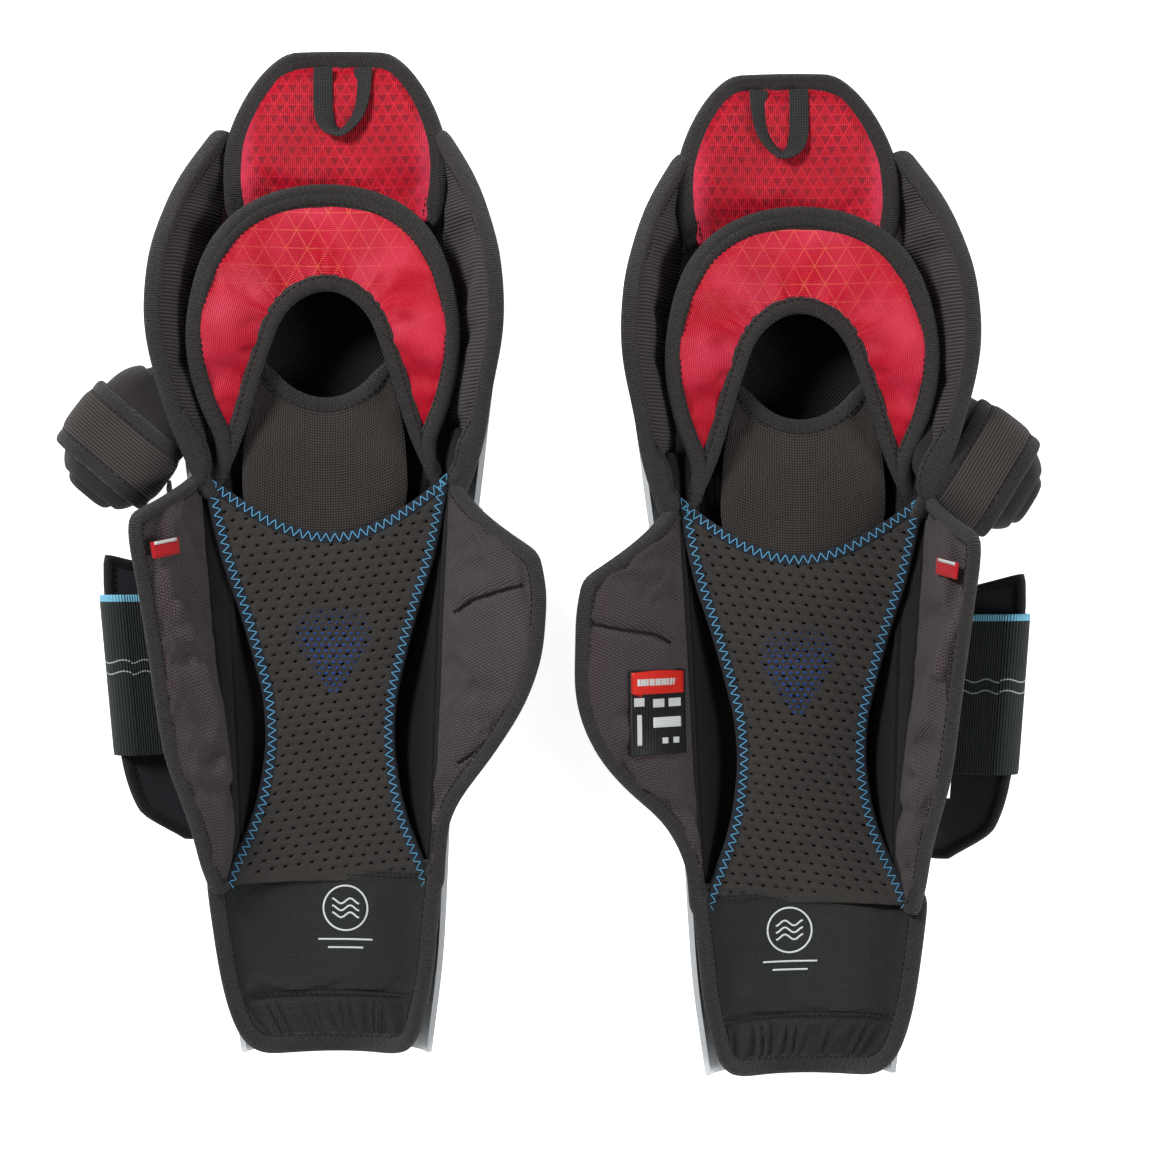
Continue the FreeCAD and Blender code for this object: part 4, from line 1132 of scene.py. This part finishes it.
# ------------------------------------------------------------------ flaps
def make_flap(guard, kind):
    side = 1 if kind == "inner" else -1
    wide, drop = (INNER_FLAP_WIDE, INNER_TOP_DROP) if kind == "inner" else (OUTER_FLAP_WIDE, OUTER_TOP_DROP)
    lean = FLAP_LEAN[guard.side][kind]
    body = f"{kind}_wrap"
    more = {"more": RIGHT_INNER_MORE} if (guard.side, kind) == ("right", "inner") else {}
    middle = flap_surface(side, lean, wide, drop, **more)
    seams = {
        "left": (((102, 254), (90, 251), (75, 246), (65, 239)), ((84, 169), (76, 165), (67, 159))),
        "right": (((112, 248), (94, 244), (77, 241), (68, 236)), ((97, 158), (84, 155), (70, 149))),
    }[guard.side]

    def thick(s, t):
        return mix(3.2, 7.4, min(ease(t / 0.3), ease((1 - t) / 0.25 + 0.2), ease(s / 0.12 + 0.2)))

    def channels(top, s, t):
        if kind == "inner":
            return press(top, sum(groove(near_line(top, line), 0, 2.4, 3.2) for line in seams))
        ridge = near_line(top, ((-91, 274), (-84, 252), (-73, 226), (-63, 190), (-58, 150)))
        return press(top, -groove(ridge, 0, 3.2, 2.6) + groove(ridge, 6, 4.0, 1.2))
    top, flat = padded_piece(guard, f"{kind}_flap", f"{kind}_{guard.side}", body, "knit", middle,
                             thick, (46, 18), [f"{kind}_flap"], (4.0, 0.04, 4.5), soft=3, share=0.55,
                             shape=channels, back="shade")
    path = edge(flat, "abc", 2.4)
    bind(guard, f"{kind}_flap_binding", path, body, "flap_knit", "towel", 3.4, 3.4, 6.4, "line")
    if kind == "inner":
        mesh = Mesh()
        for line in seams:
            line = finer_line(np.array([(x, y, 0.0) for x, y in line]), 12)
            sweep(mesh, on_face(top, line[:, :2], 0.35), slab_section(-0.8, 0.8, 0.3, 8))
        finish_piece(mesh.build(guard, "flap_seams", M["lining"]), guard, body)

        # the stiff plate on the flap's back
        def plate(s, t):
            return middle(mix(0.34, 0.9, s), mix(0.2, 0.8, t))
        p = soften(grid(plate, np.linspace(0, 1, 40), np.linspace(0, 1, 20)), 6)
        mesh = plaque(Mesh(), p - normals(p) * 5.2, 0.9)
        finish_piece(mesh.build(guard, "flap_plate", M["plate"]), guard, body,
                     ["inner_flap_plate"])

    # the strip of knit that the flap folds on, from the lining's edge to the flap's root
    def fold(s, t):
        y = mix(104.0, 306.0, s)
        low = np.array(wall(SHIN, y, side * LINING_WRAP, 8.0))
        high = np.array(middle((y - FLAP_FROM) / (FLAP_TO - FLAP_FROM), 0.0))
        bow = math.sin(math.pi * t)
        return mix(low, high, t) + bow * np.array((-side * 1.2, 0, -0.6 + 0.6 * math.sin(0.31 * y)))
    rows = grid(fold, np.linspace(0, 1, 60), np.linspace(0, 1, 9))
    up = normals(rows)
    u, v = grid_uv(rows)
    mesh = Mesh().lattice(rows + up * 0.5, u, v).lattice(rows - up * 0.5, u, v)
    rim_r, rim_c = rim_index(rows.shape)
    loop = np.stack([(rows + up * 0.5)[rim_r, rim_c], (rows - up * 0.5)[rim_r, rim_c]])
    mesh.lattice(loop, 0.0, 0.0, wrap=True)
    made = mesh.build(guard, f"{kind}_flap_fold", M["shade"])
    x, y, z = flap_root(160.0, side)
    finish_piece(made, guard, "shin",
                 between=(body, (x - side * 3.0, y, z - 3.0), (x + side * 3.0, y, z + 4.0)))
    return top, middle


def drape(top, xs, ys, lift):
    """Points at plan places, dropped onto a face and lifted off it along its normal."""
    n, m = top.shape[:2]
    index = np.arange(n * m).reshape(n, m)
    faces = np.stack([index[:-1, :-1], index[1:, :-1], index[1:, 1:], index[:-1, 1:]], -1).reshape(-1, 4)
    tree = BVHTree.FromPolygons(top.reshape(-1, 3).tolist(), faces.tolist())
    out = []
    for x, y in zip(np.ravel(xs), np.ravel(ys)):
        at, up, *_ = tree.ray_cast(Vector((x, y, 400)), Vector((0, 0, -1)))
        at, up, *_ = (at, up) if at else tree.find_nearest(Vector((x, y, 90)))
        out.append(np.array(at) + np.array(up if up.z > 0 else -up) * lift)
    return np.array(out).reshape(np.shape(xs) + (3,))


def drape_box(top, x_range, y_range, shape, lift):
    xs, ys = np.meshgrid(np.linspace(*x_range, shape[0]), np.linspace(*y_range, shape[1]), indexing="ij")
    return drape(top, xs, ys, lift)


def plaque(mesh, p, half):
    """A thin plate over a grid of points."""
    up = normals(p)
    u, v = grid_uv(p)
    mesh.lattice(p + up * half, u, v).lattice(p - up * half, u, v)
    r, c = rim_index(p.shape)
    mesh.lattice(np.stack([(p + up * half)[r, c], (p - up * half)[r, c]]), 0.0, 0.0, wrap=True)
    return mesh


def make_tag(guard, middle):
    """A small red tape tag with one plain pale bar. On the guard it is sewn down along both edges; those
    stitches are not drawn.
    """
    def place(s, t):
        far = mix(0.6, 0.93, s)
        y = mix(279.0, 270.5, t) - 3.0 * s
        return middle((y - FLAP_FROM) / (FLAP_TO - OUTER_TOP_DROP * far - FLAP_FROM), far)
    p = grid(place, np.linspace(0, 1, 12), np.linspace(0, 1, 6))
    p = p + normals(p) * 6.6
    mesh = plaque(Mesh(), p, 0.6).use(1)
    above = p + normals(p) * 0.7
    plaque(mesh, above[1:-1, :2], 0.15)
    made = mesh.build(guard, "red_tag", [M["tag"], M["ink"]])
    finish_piece(made, guard, "outer_wrap", ["side_tag"])


def make_label(guard, top):
    """A plain label: a red head, a dark body, and pale boxes and bars with nothing written on them."""
    x0, x1, y0, y1 = 61.5, 91.5, 177.0, 222.0
    sheet = drape_box(top, (x0, x1), (y0, y1), (31, 46), 0.0)
    for _ in range(60):
        for q in (sheet, sheet.swapaxes(0, 1)):
            q[1:-1] = (q[:-2] + 2 * q[1:-1] + q[2:]) / 4
    sheet += normals(sheet) * 1.5
    mesh = plaque(Mesh(), sheet, 0.35)
    parts = ((0.0, 1.0, 0.72, 1.0, 1), (0.14, 0.84, 0.82, 0.9, 2), (0.06, 0.28, 0.56, 0.66, 2),
             (0.36, 0.56, 0.56, 0.66, 2), (0.72, 0.9, 0.58, 0.68, 2), (0.06, 0.56, 0.32, 0.44, 2),
             (0.77, 0.85, 0.12, 0.48, 2), (0.1, 0.2, 0.13, 0.2, 2), (0.3, 0.4, 0.13, 0.2, 2))
    for a, b, c, d, slot in parts:
        wide, tall = (mix(x0, x1, a), mix(x0, x1, b)), (mix(y0, y1, c), mix(y0, y1, d))
        p = drape_box(sheet, wide, tall, (20, 14), 0.6)
        plaque(mesh.use(slot), p, 0.12)
    made = mesh.build(guard, "wash_label", [M["label"], M["head"], M["ink"]])
    finish_piece(made, guard, "inner_wrap", ["size_label"])


# ------------------------------------------------------------------ knee
def make_knee(guard):
    def cup(s, t):
        return wall(KNEE, mix(318, 470, s), mix(-62, 62, t), 7.7)
    padded_piece(guard, "cup_lining", "cup", "knee", "spacer", cup, lambda s, t: 6.0, (26, 30),
                 ["cup_lining"], power=8)

    def thick(s, t):
        ends = min(ease(s / 0.2), ease((1 - s) / 0.2))
        return mix(4.0, mix(5.0, 12.5, ends), math.sin(math.pi * min(1, max(0, t))) ** 0.7)

    def crease(top, s, t):
        turn = (s - 0.5) * 2 * HORSE_SPAN
        near_hole = ease((0.55 - t) / 0.5)
        folds = np.sin(turn * 0.42 + 2 * np.sin(turn * 0.11)) * 0.9 + np.sin(turn * 0.93 + 1.3) * 0.45
        return press(top, folds * near_hole * ease((95 - np.abs(turn)) / 40) * np.clip(t * 12, 0, 1))
    _, flat = padded_piece(guard, "knee_cushion", "cushion", "knee", "red",
                           lambda s, t: horse_point(mix(-HORSE_SPAN, HORSE_SPAN, s), t), thick, (76, 16),
                           ["knee_cushion"],
                           (4.5, 0.05, 5.0), shape=crease, power=5)
    pivot = ("knee", (0.0, 300.0, 50.0), (0.0, 322.0, 50.0))
    for name, edges, out, lift, section, sew in (
            ("cushion_binding", "b", 0.0, 2.2, (3.0, 3.6, 5.0), "line"),
            ("hole_binding", "d", -2.2, 2.4, (4.6, 4.0, 4.8), "line")):
        points, outs, ups = rim_path(flat, edges)
        ends = [np.array((HORSE_X + side * 60.0, 308.0, 57.0)) for side in (-1, 1)]
        if points[0][0] > 0:
            ends.reverse()
        lead = [mix(ends[0], points[0], k) for k in np.linspace(0, 0.9, 12)]
        tail = [mix(points[-1], ends[1], k) for k in np.linspace(0.1, 1, 12)]
        points = np.concatenate([lead, points, tail])
        outs = np.concatenate([[outs[0]] * 12, outs, [outs[-1]] * 12])
        ups = np.concatenate([[ups[0]] * 12, ups, [ups[-1]] * 12])
        for _ in range(60):
            points[1:-1] = (points[:-2] + 2 * points[1:-1] + points[2:]) / 4
        points, outs, ups = path_frames(points, outs, ups)
        points, outs, ups = resample(points, 2.4, outs, ups)
        outs, ups = unit(outs), unit(ups)
        roll = (3.8, mix(0.6, 3.8, ease((points[:, 1] - 395) / 55))) if edges == "b" else None
        path = (points + outs * out + ups * lift, outs, ups)
        bind(guard, name, path, "shin", "red_print", "towel", *section, sew, between=pivot, roll=roll)

    span, gap = 104.0, 1.2
    def base_top(s, t):
        x, y, z = horse_point(mix(-span, span, s), mix(0.06, 0.5, t))
        return x, y, z - 7.5

    def base_bottom(s, t):
        x, y, _ = horse_point(mix(-span, span, s), mix(0.06, 0.5, t))
        half, front, rim = (through(table, y) for table in KNEE)
        share = min(0.9, abs(x) / (half - LINING_OUT))
        return x, y, rim - (rim - front - LINING_OUT) * math.sqrt(1 - share * share) + gap
    ss, ts = np.linspace(0, 1, 60), np.linspace(0, 1, 9)
    a, b = grid(base_top, ss, ts), grid(base_bottom, ss, ts)
    u, v = grid_uv(a)
    r, c = rim_index(a.shape)
    steps = np.linspace(0, 1, 6)
    sides = np.array([mix(a[r, c], b[r, c], k) for k in steps])
    mesh = Mesh().lattice(a, u, v).lattice(b, u, v)
    round_it = lengths(np.concatenate([a[r, c], a[r, c][:1]]))
    mesh.lattice(sides, round_it[None], (steps * 30)[:, None], wrap=True)
    finish_piece(mesh.build(guard, "hole_wall", M["spacer"]), guard, "knee", ["cushion_base"])

    for kind, side in (("outer", -1), ("inner", 1)):
        def wing_thick(s, t):
            return mix(3.6, 7.4, min(ease(4 * s), ease(4 * (1 - s))))
        _, flat = padded_piece(guard, f"{kind}_knee_wing", f"{kind}_wing", "knee", "ribbed",
                               wing_surface(side), wing_thick, (44, 14), [f"{kind}_knee_wing"],
                               (4.0, 0.03, 2.5), soft=4, back="shade")
        bind(guard, f"{kind}_wing_binding", edge(flat, "abc", 2.6), "knee", "wing_knit", "towel", 4.2, 4.6,
             8.0, "line")


# ------------------------------------------------------------------ thigh guard
def make_thigh(guard):
    _, flat = padded_piece(guard, "thigh_pad", "thigh", "thigh", "print", thigh_point,
                           lambda s, t: 9.5, (30, 30), ["thigh_pad"], (4.0, 0.03, 4.0), soft=5)
    path = edge(flat, "bcd", 2.6, out=0.4, lift=0.8)
    bind(guard, "thigh_binding", path, "thigh", "red_print", "towel", 3.0, 3.2, 7.4, "line", roll=(3.7, 2.4))

    mesh = Mesh()
    for x in (-37.0, 19.0):
        def strip(s, t):
            across = x + 18 * t
            return across, mix(444, 474, s), 31 + BOW * across * across
        plaque(mesh, grid(strip, np.linspace(0, 1, 14), np.linspace(0, 1, 8)), 0.7)
    made = mesh.build(guard, "thigh_webbing", M["tape"])
    finish_piece(made, guard, "knee", ["thigh_webs"],
                 between=("thigh", (0, 448, 31), (0, 464, 31)))

    # a flat tape, folded to a V at its lower end and turned partly on edge in one leg
    route = np.array(((-6.7, 533.5, 52.4), (-6.7, 521, 54.2), (-6.2, 509, 55.2),
                      (-3.4, 501, 56.2), (2.6, 497.6, 57.6), (8.2, 501.4, 57.4),
                      (12.6, 508, 56.4), (14.8, 518, 55.0), (15.0, 533.5, 52.4)))
    points = resample(finer_line(route, 10), 0.9)
    k = np.linspace(0, 1, len(points))
    along = unit(np.gradient(points, axis=0))
    turn = np.radians(np.interp(k, (0, 0.32, 0.48, 0.6, 0.8, 1), (0, 6, 64, 58, 40, 12)))[:, None]
    side = unit(np.cross(along, (0, 0, 1.0)))
    up = np.cross(side, along)
    w = side * np.cos(turn) + up * np.sin(turn)
    mesh = sweep(Mesh(), (points, w, np.cross(w, along)), slab_section(-5.2, 5.2, 0.7, 12))
    finish_piece(mesh.build(guard, "pull_tape", M["tape"]), guard, "loop", ["pull_loop"])


def finer_line(points, times):
    return finer(np.repeat(points[:, None], 2, 1), times)[:, 0]


def make_waist(guard):
    """The gathered fabric and the binding that join each flap's top to its knee wing."""
    pivot = ("knee", (0.0, 298.0, 60.0), (0.0, 326.0, 60.0))
    for kind, way in (("outer", -1), ("inner", 1)):
        def web(s, t):
            y = mix(284.0, 338.0, s)
            wide = through(((284, 66), (312, 67), (338, 69)), y)
            x, k = mix(30.0, wide, t), ease((t - 0.6) / 0.4)
            z = mix(mix(32.0, 45.0, t), through(((284, 60), (312, 66), (338, 66)), y), k)
            gather = math.sin(math.pi * s) ** 0.5 * math.sin(math.pi * min(1, t + 0.1))
            fold = 1.3 * math.sin(44 * t + 2.1 * math.sin(7 * s)) + 0.7 * math.sin(73 * t + 5 * s)
            return way * x, y, z + fold * gather
        p = grid(web, np.linspace(0, 1, 44), np.linspace(0, 1, 36))
        mesh = plaque(Mesh(), p, 0.8)
        made = mesh.build(guard, f"{kind}_waist_web", M["shade"])
        finish_piece(made, guard, "shin", between=pivot)

        foot = WAIST_FOOT[kind]
        rise = np.array(((70.0, 318.0, 77.0), (71.5, 327.0, 81.0), (76.5, 337.0, 87.0), (82.0, 347.0, 93.5)))
        route = np.concatenate([foot, rise * (way, 1, 1)])
        points = resample(finer_line(route, 6), 2.2)
        outs = np.tile((float(way), -0.2, 0.25), (len(points), 1))
        ups = np.tile((-0.25 * way, 0.0, 1.0), (len(points), 1))
        bind(guard, f"{kind}_waist_binding", path_frames(points, unit(outs), unit(ups)), "shin", "flap_knit",
             "towel", 3.6, 3.8, 5.6, "line", between=pivot)


# ------------------------------------------------------------------ outer side
def ribbon(mesh, loop, start, x_way, z_way, run, wide, half, flare=0.0, power=8.0):
    """A padded strap bent round a closed line of (x, z) points, its width along run, with rounded edges."""
    ahead = np.roll(loop, -1, 0) - np.roll(loop, 1, 0)
    out = unit(np.stack([-ahead[:, 1], ahead[:, 0]], 1))
    if ((loop - loop.mean(0)) * out).sum() < 0:
        out = -out
    way = unit(run)
    k = np.sin(np.linspace(-math.pi / 2, math.pi / 2, 30))
    lift = half * (1 - np.abs(k) ** power) ** (1 / power)
    along = lengths(np.concatenate([loop, loop[:1]]))
    v = (k + 1) * wide / 2
    for face in (lift, -lift):
        shift = face + flare * k ** 4
        line = loop[None] + out[None] * shift[:, None, None]
        at = start + line[..., :1] * x_way + line[..., 1:] * z_way + (k * wide / 2)[:, None, None] * way
        mesh.lattice(at, along[None], v[:, None], wrap=True)
    return mesh


def make_outer_side(guard):
    side = guard.side
    p = grid(fin_point, np.linspace(0, 1, 50), np.linspace(0, 1, 16))
    bind(guard, "fin_binding", edge(p, "abc", 2.6, out=-0.4), "fin", "black_plastic", "shade", 2.6, 3.2, 4.4,
         "line")

    low, high, out = fin_axis()
    start = np.array((low[0], STRAP_FROM, low[2])) + out * (STRAP_CENTRE - STRAP_LEAN)
    end = np.array((high[0], STRAP_TO, high[2])) + out * (STRAP_CENTRE + STRAP_LEAN)
    run = end - start
    z_way = unit(np.cross(run, out))
    loop = stadium(STRAP_HALF - 1.0, STRAP_HIGH - 1.0, 1.8)
    mesh = ribbon(Mesh(), loop, mix(start, end, 0.6), out, z_way, run, float(np.linalg.norm(run)), 1.05,
                  power=10.0)
    finish_piece(mesh.build(guard, "calf_strap", M["elastic"]), guard, "band", ["calf_strap"])

    middle, length_way, width_way = ROLL[side]
    a, b = math.radians(length_way), math.radians(width_way)
    x_way, run = np.array((math.cos(a), math.sin(a), 0)), np.array((math.cos(b), math.sin(b), 0))
    z_way = np.array((0, 0, 1.0))
    middle = np.array(middle)
    centre, loop = middle + np.array((4.5, 4.0, 0.0)), stadium(27.5, 16.6)
    k = np.sin(np.linspace(-math.pi / 2, math.pi / 2, 61))
    size = (1 - np.abs(k) ** 3.2) ** (1 / 2.2)
    turns = 2.2 * np.exp(-((size - 0.55) / 0.06) ** 2) + 3.0 * np.exp(-(size / 0.2) ** 2)
    along = k * 40.0 - np.sign(k) * turns
    ring = loop[None] * size[:, None, None]
    p = centre + ring[..., :1] * x_way + ring[..., 1:] * z_way + along[:, None, None] * run
    v = lengths(p[:, 0])
    mesh = Mesh().lattice(p, lengths(np.concatenate([loop, loop[:1]]))[None], v[:, None], wrap=True)
    made = mesh.build(guard, "knee_strap_roll", M["neoprene"])
    finish_piece(made, guard, "roll", ["knee_strap"])
    mesh = ribbon(Mesh(), stadium(30.4, 18.8), middle, x_way, z_way, run, 26.0, 1.6, -1.6)
    finish_piece(mesh.build(guard, "knee_strap_band", M["band"]), guard, "roll")
    mesh = Mesh()
    for way in (-1, 1):
        at = middle + run * way * 15.6
        ribbon(mesh.use(0), stadium(27.8, 17.2), at, x_way, z_way, run, 9.4, 2.6, 0.0, 2.4)
        line = stadium(30.4, 19.8, 2.0)
        line = np.concatenate([line, line[:1]])
        points = at + line[:, :1] * x_way + line[:, 1:] * z_way
        outs = np.tile(run, (len(points), 1))
        ups = unit(points - at)
        straight_stitches(mesh.use(1), (points, outs, ups), -way * 2.8, -0.2)
    finish_piece(mesh.build(guard, "knee_strap_edges", [M["towel"], M["thread"]]), guard, "roll")

    start, end = np.array(TAIL_START), middle + x_way * 33.6
    k = np.linspace(0, 1, 24)
    sag = 4 * k * (1 - k)
    points = mix(start, end, k[:, None]) + np.stack([-2 * sag, 0 * k, 0 * k], 1)
    ups = np.tile((0.0, 0.0, 1.0), (24, 1))
    path = path_frames(points, unit(np.cross(np.gradient(points, axis=0), ups)), ups)
    section = slab_section(-1.1, 1.1, 7.0, 16)
    mesh = sweep(Mesh(), path, section)
    finish_piece(mesh.build(guard, "knee_strap_tail", M["neoprene"]), guard, "roll")


# ------------------------------------------------------------------ everything
for side in ("left", "right"):
    guard = Guard(side)
    make_lining(guard)
    make_sling(guard)
    make_ankle(guard)
    make_tongue(guard)
    inner_top, _ = make_flap(guard, "inner")
    _, outer_middle = make_flap(guard, "outer")
    make_tag(guard, outer_middle)
    if side == "right":
        make_label(guard, inner_top)
    make_waist(guard)
    make_knee(guard)
    make_thigh(guard)
    make_outer_side(guard)

KEPT = {
    "shin_shell": "white", "knee_cap": "white", "shin_ridge": "blue", "knee_bumper": "blue",
    "knee_pins": "steel", "shell_rivets": "steel", "strap_anchors": "black", "strap_wing": "wing",
    "thigh_plate": "black", "shin_patches": "hook",
}
for side in ("left", "right"):
    for node, material in KEPT.items():
        for place in bpy.data.objects[f"{side}_{node}"].material_slots:
            place.material = M[material]


# ------------------------------------------------------------------ floor, light and camera
def lamp(name, at, size, power):
    data = bpy.data.lights.new(name, "AREA")
    data.shape, data.size, data.energy = "DISK", size, power
    made = bpy.data.objects.new(name, data)
    made.location = at
    made.rotation_euler = (Vector((0, 0, 0)) - Vector(at)).to_track_quat("-Z", "Y").to_euler()
    bpy.context.scene.collection.objects.link(made)


floor_mesh = bpy.data.meshes.new("floor")
floor_mesh.from_pydata([(-30, -30, 0), (30, -30, 0), (30, 30, 0), (-30, 30, 0)], [], [(0, 1, 2, 3)])
floor = bpy.data.objects.new("floor", floor_mesh)
floor.location.z = -0.0004
bpy.context.scene.collection.objects.link(floor)
floor_paint = Paint("floor_white", mapped=False)
floor_mesh.materials.append(floor_paint.finish(rgb(250, 250, 250), 0.7, 0.005, Emission_Color=(1, 1, 1, 1),
                                               Emission_Strength=0.72))

bpy.context.scene.view_settings.view_transform = "Standard"
world = bpy.data.worlds.new("studio")
world.use_nodes = True
world.node_tree.nodes["Background"].inputs[0].default_value = (1, 1, 1, 1)
world.node_tree.nodes["Background"].inputs[1].default_value = 0.24
bpy.context.scene.world = world
lamp("key", (-0.9, 0.8, 1.5), 0.5, 34)
lamp("fill", (1.2, -0.4, 1.3), 0.7, 16)

lens = bpy.data.cameras.new("camera")
lens.lens, lens.sensor_width = 107.0, 36.0
camera = bpy.data.objects.new("camera", lens)
camera.location = (0.0103, -0.002, 1.90)
bpy.context.scene.collection.objects.link(camera)
bpy.context.scene.camera = camera
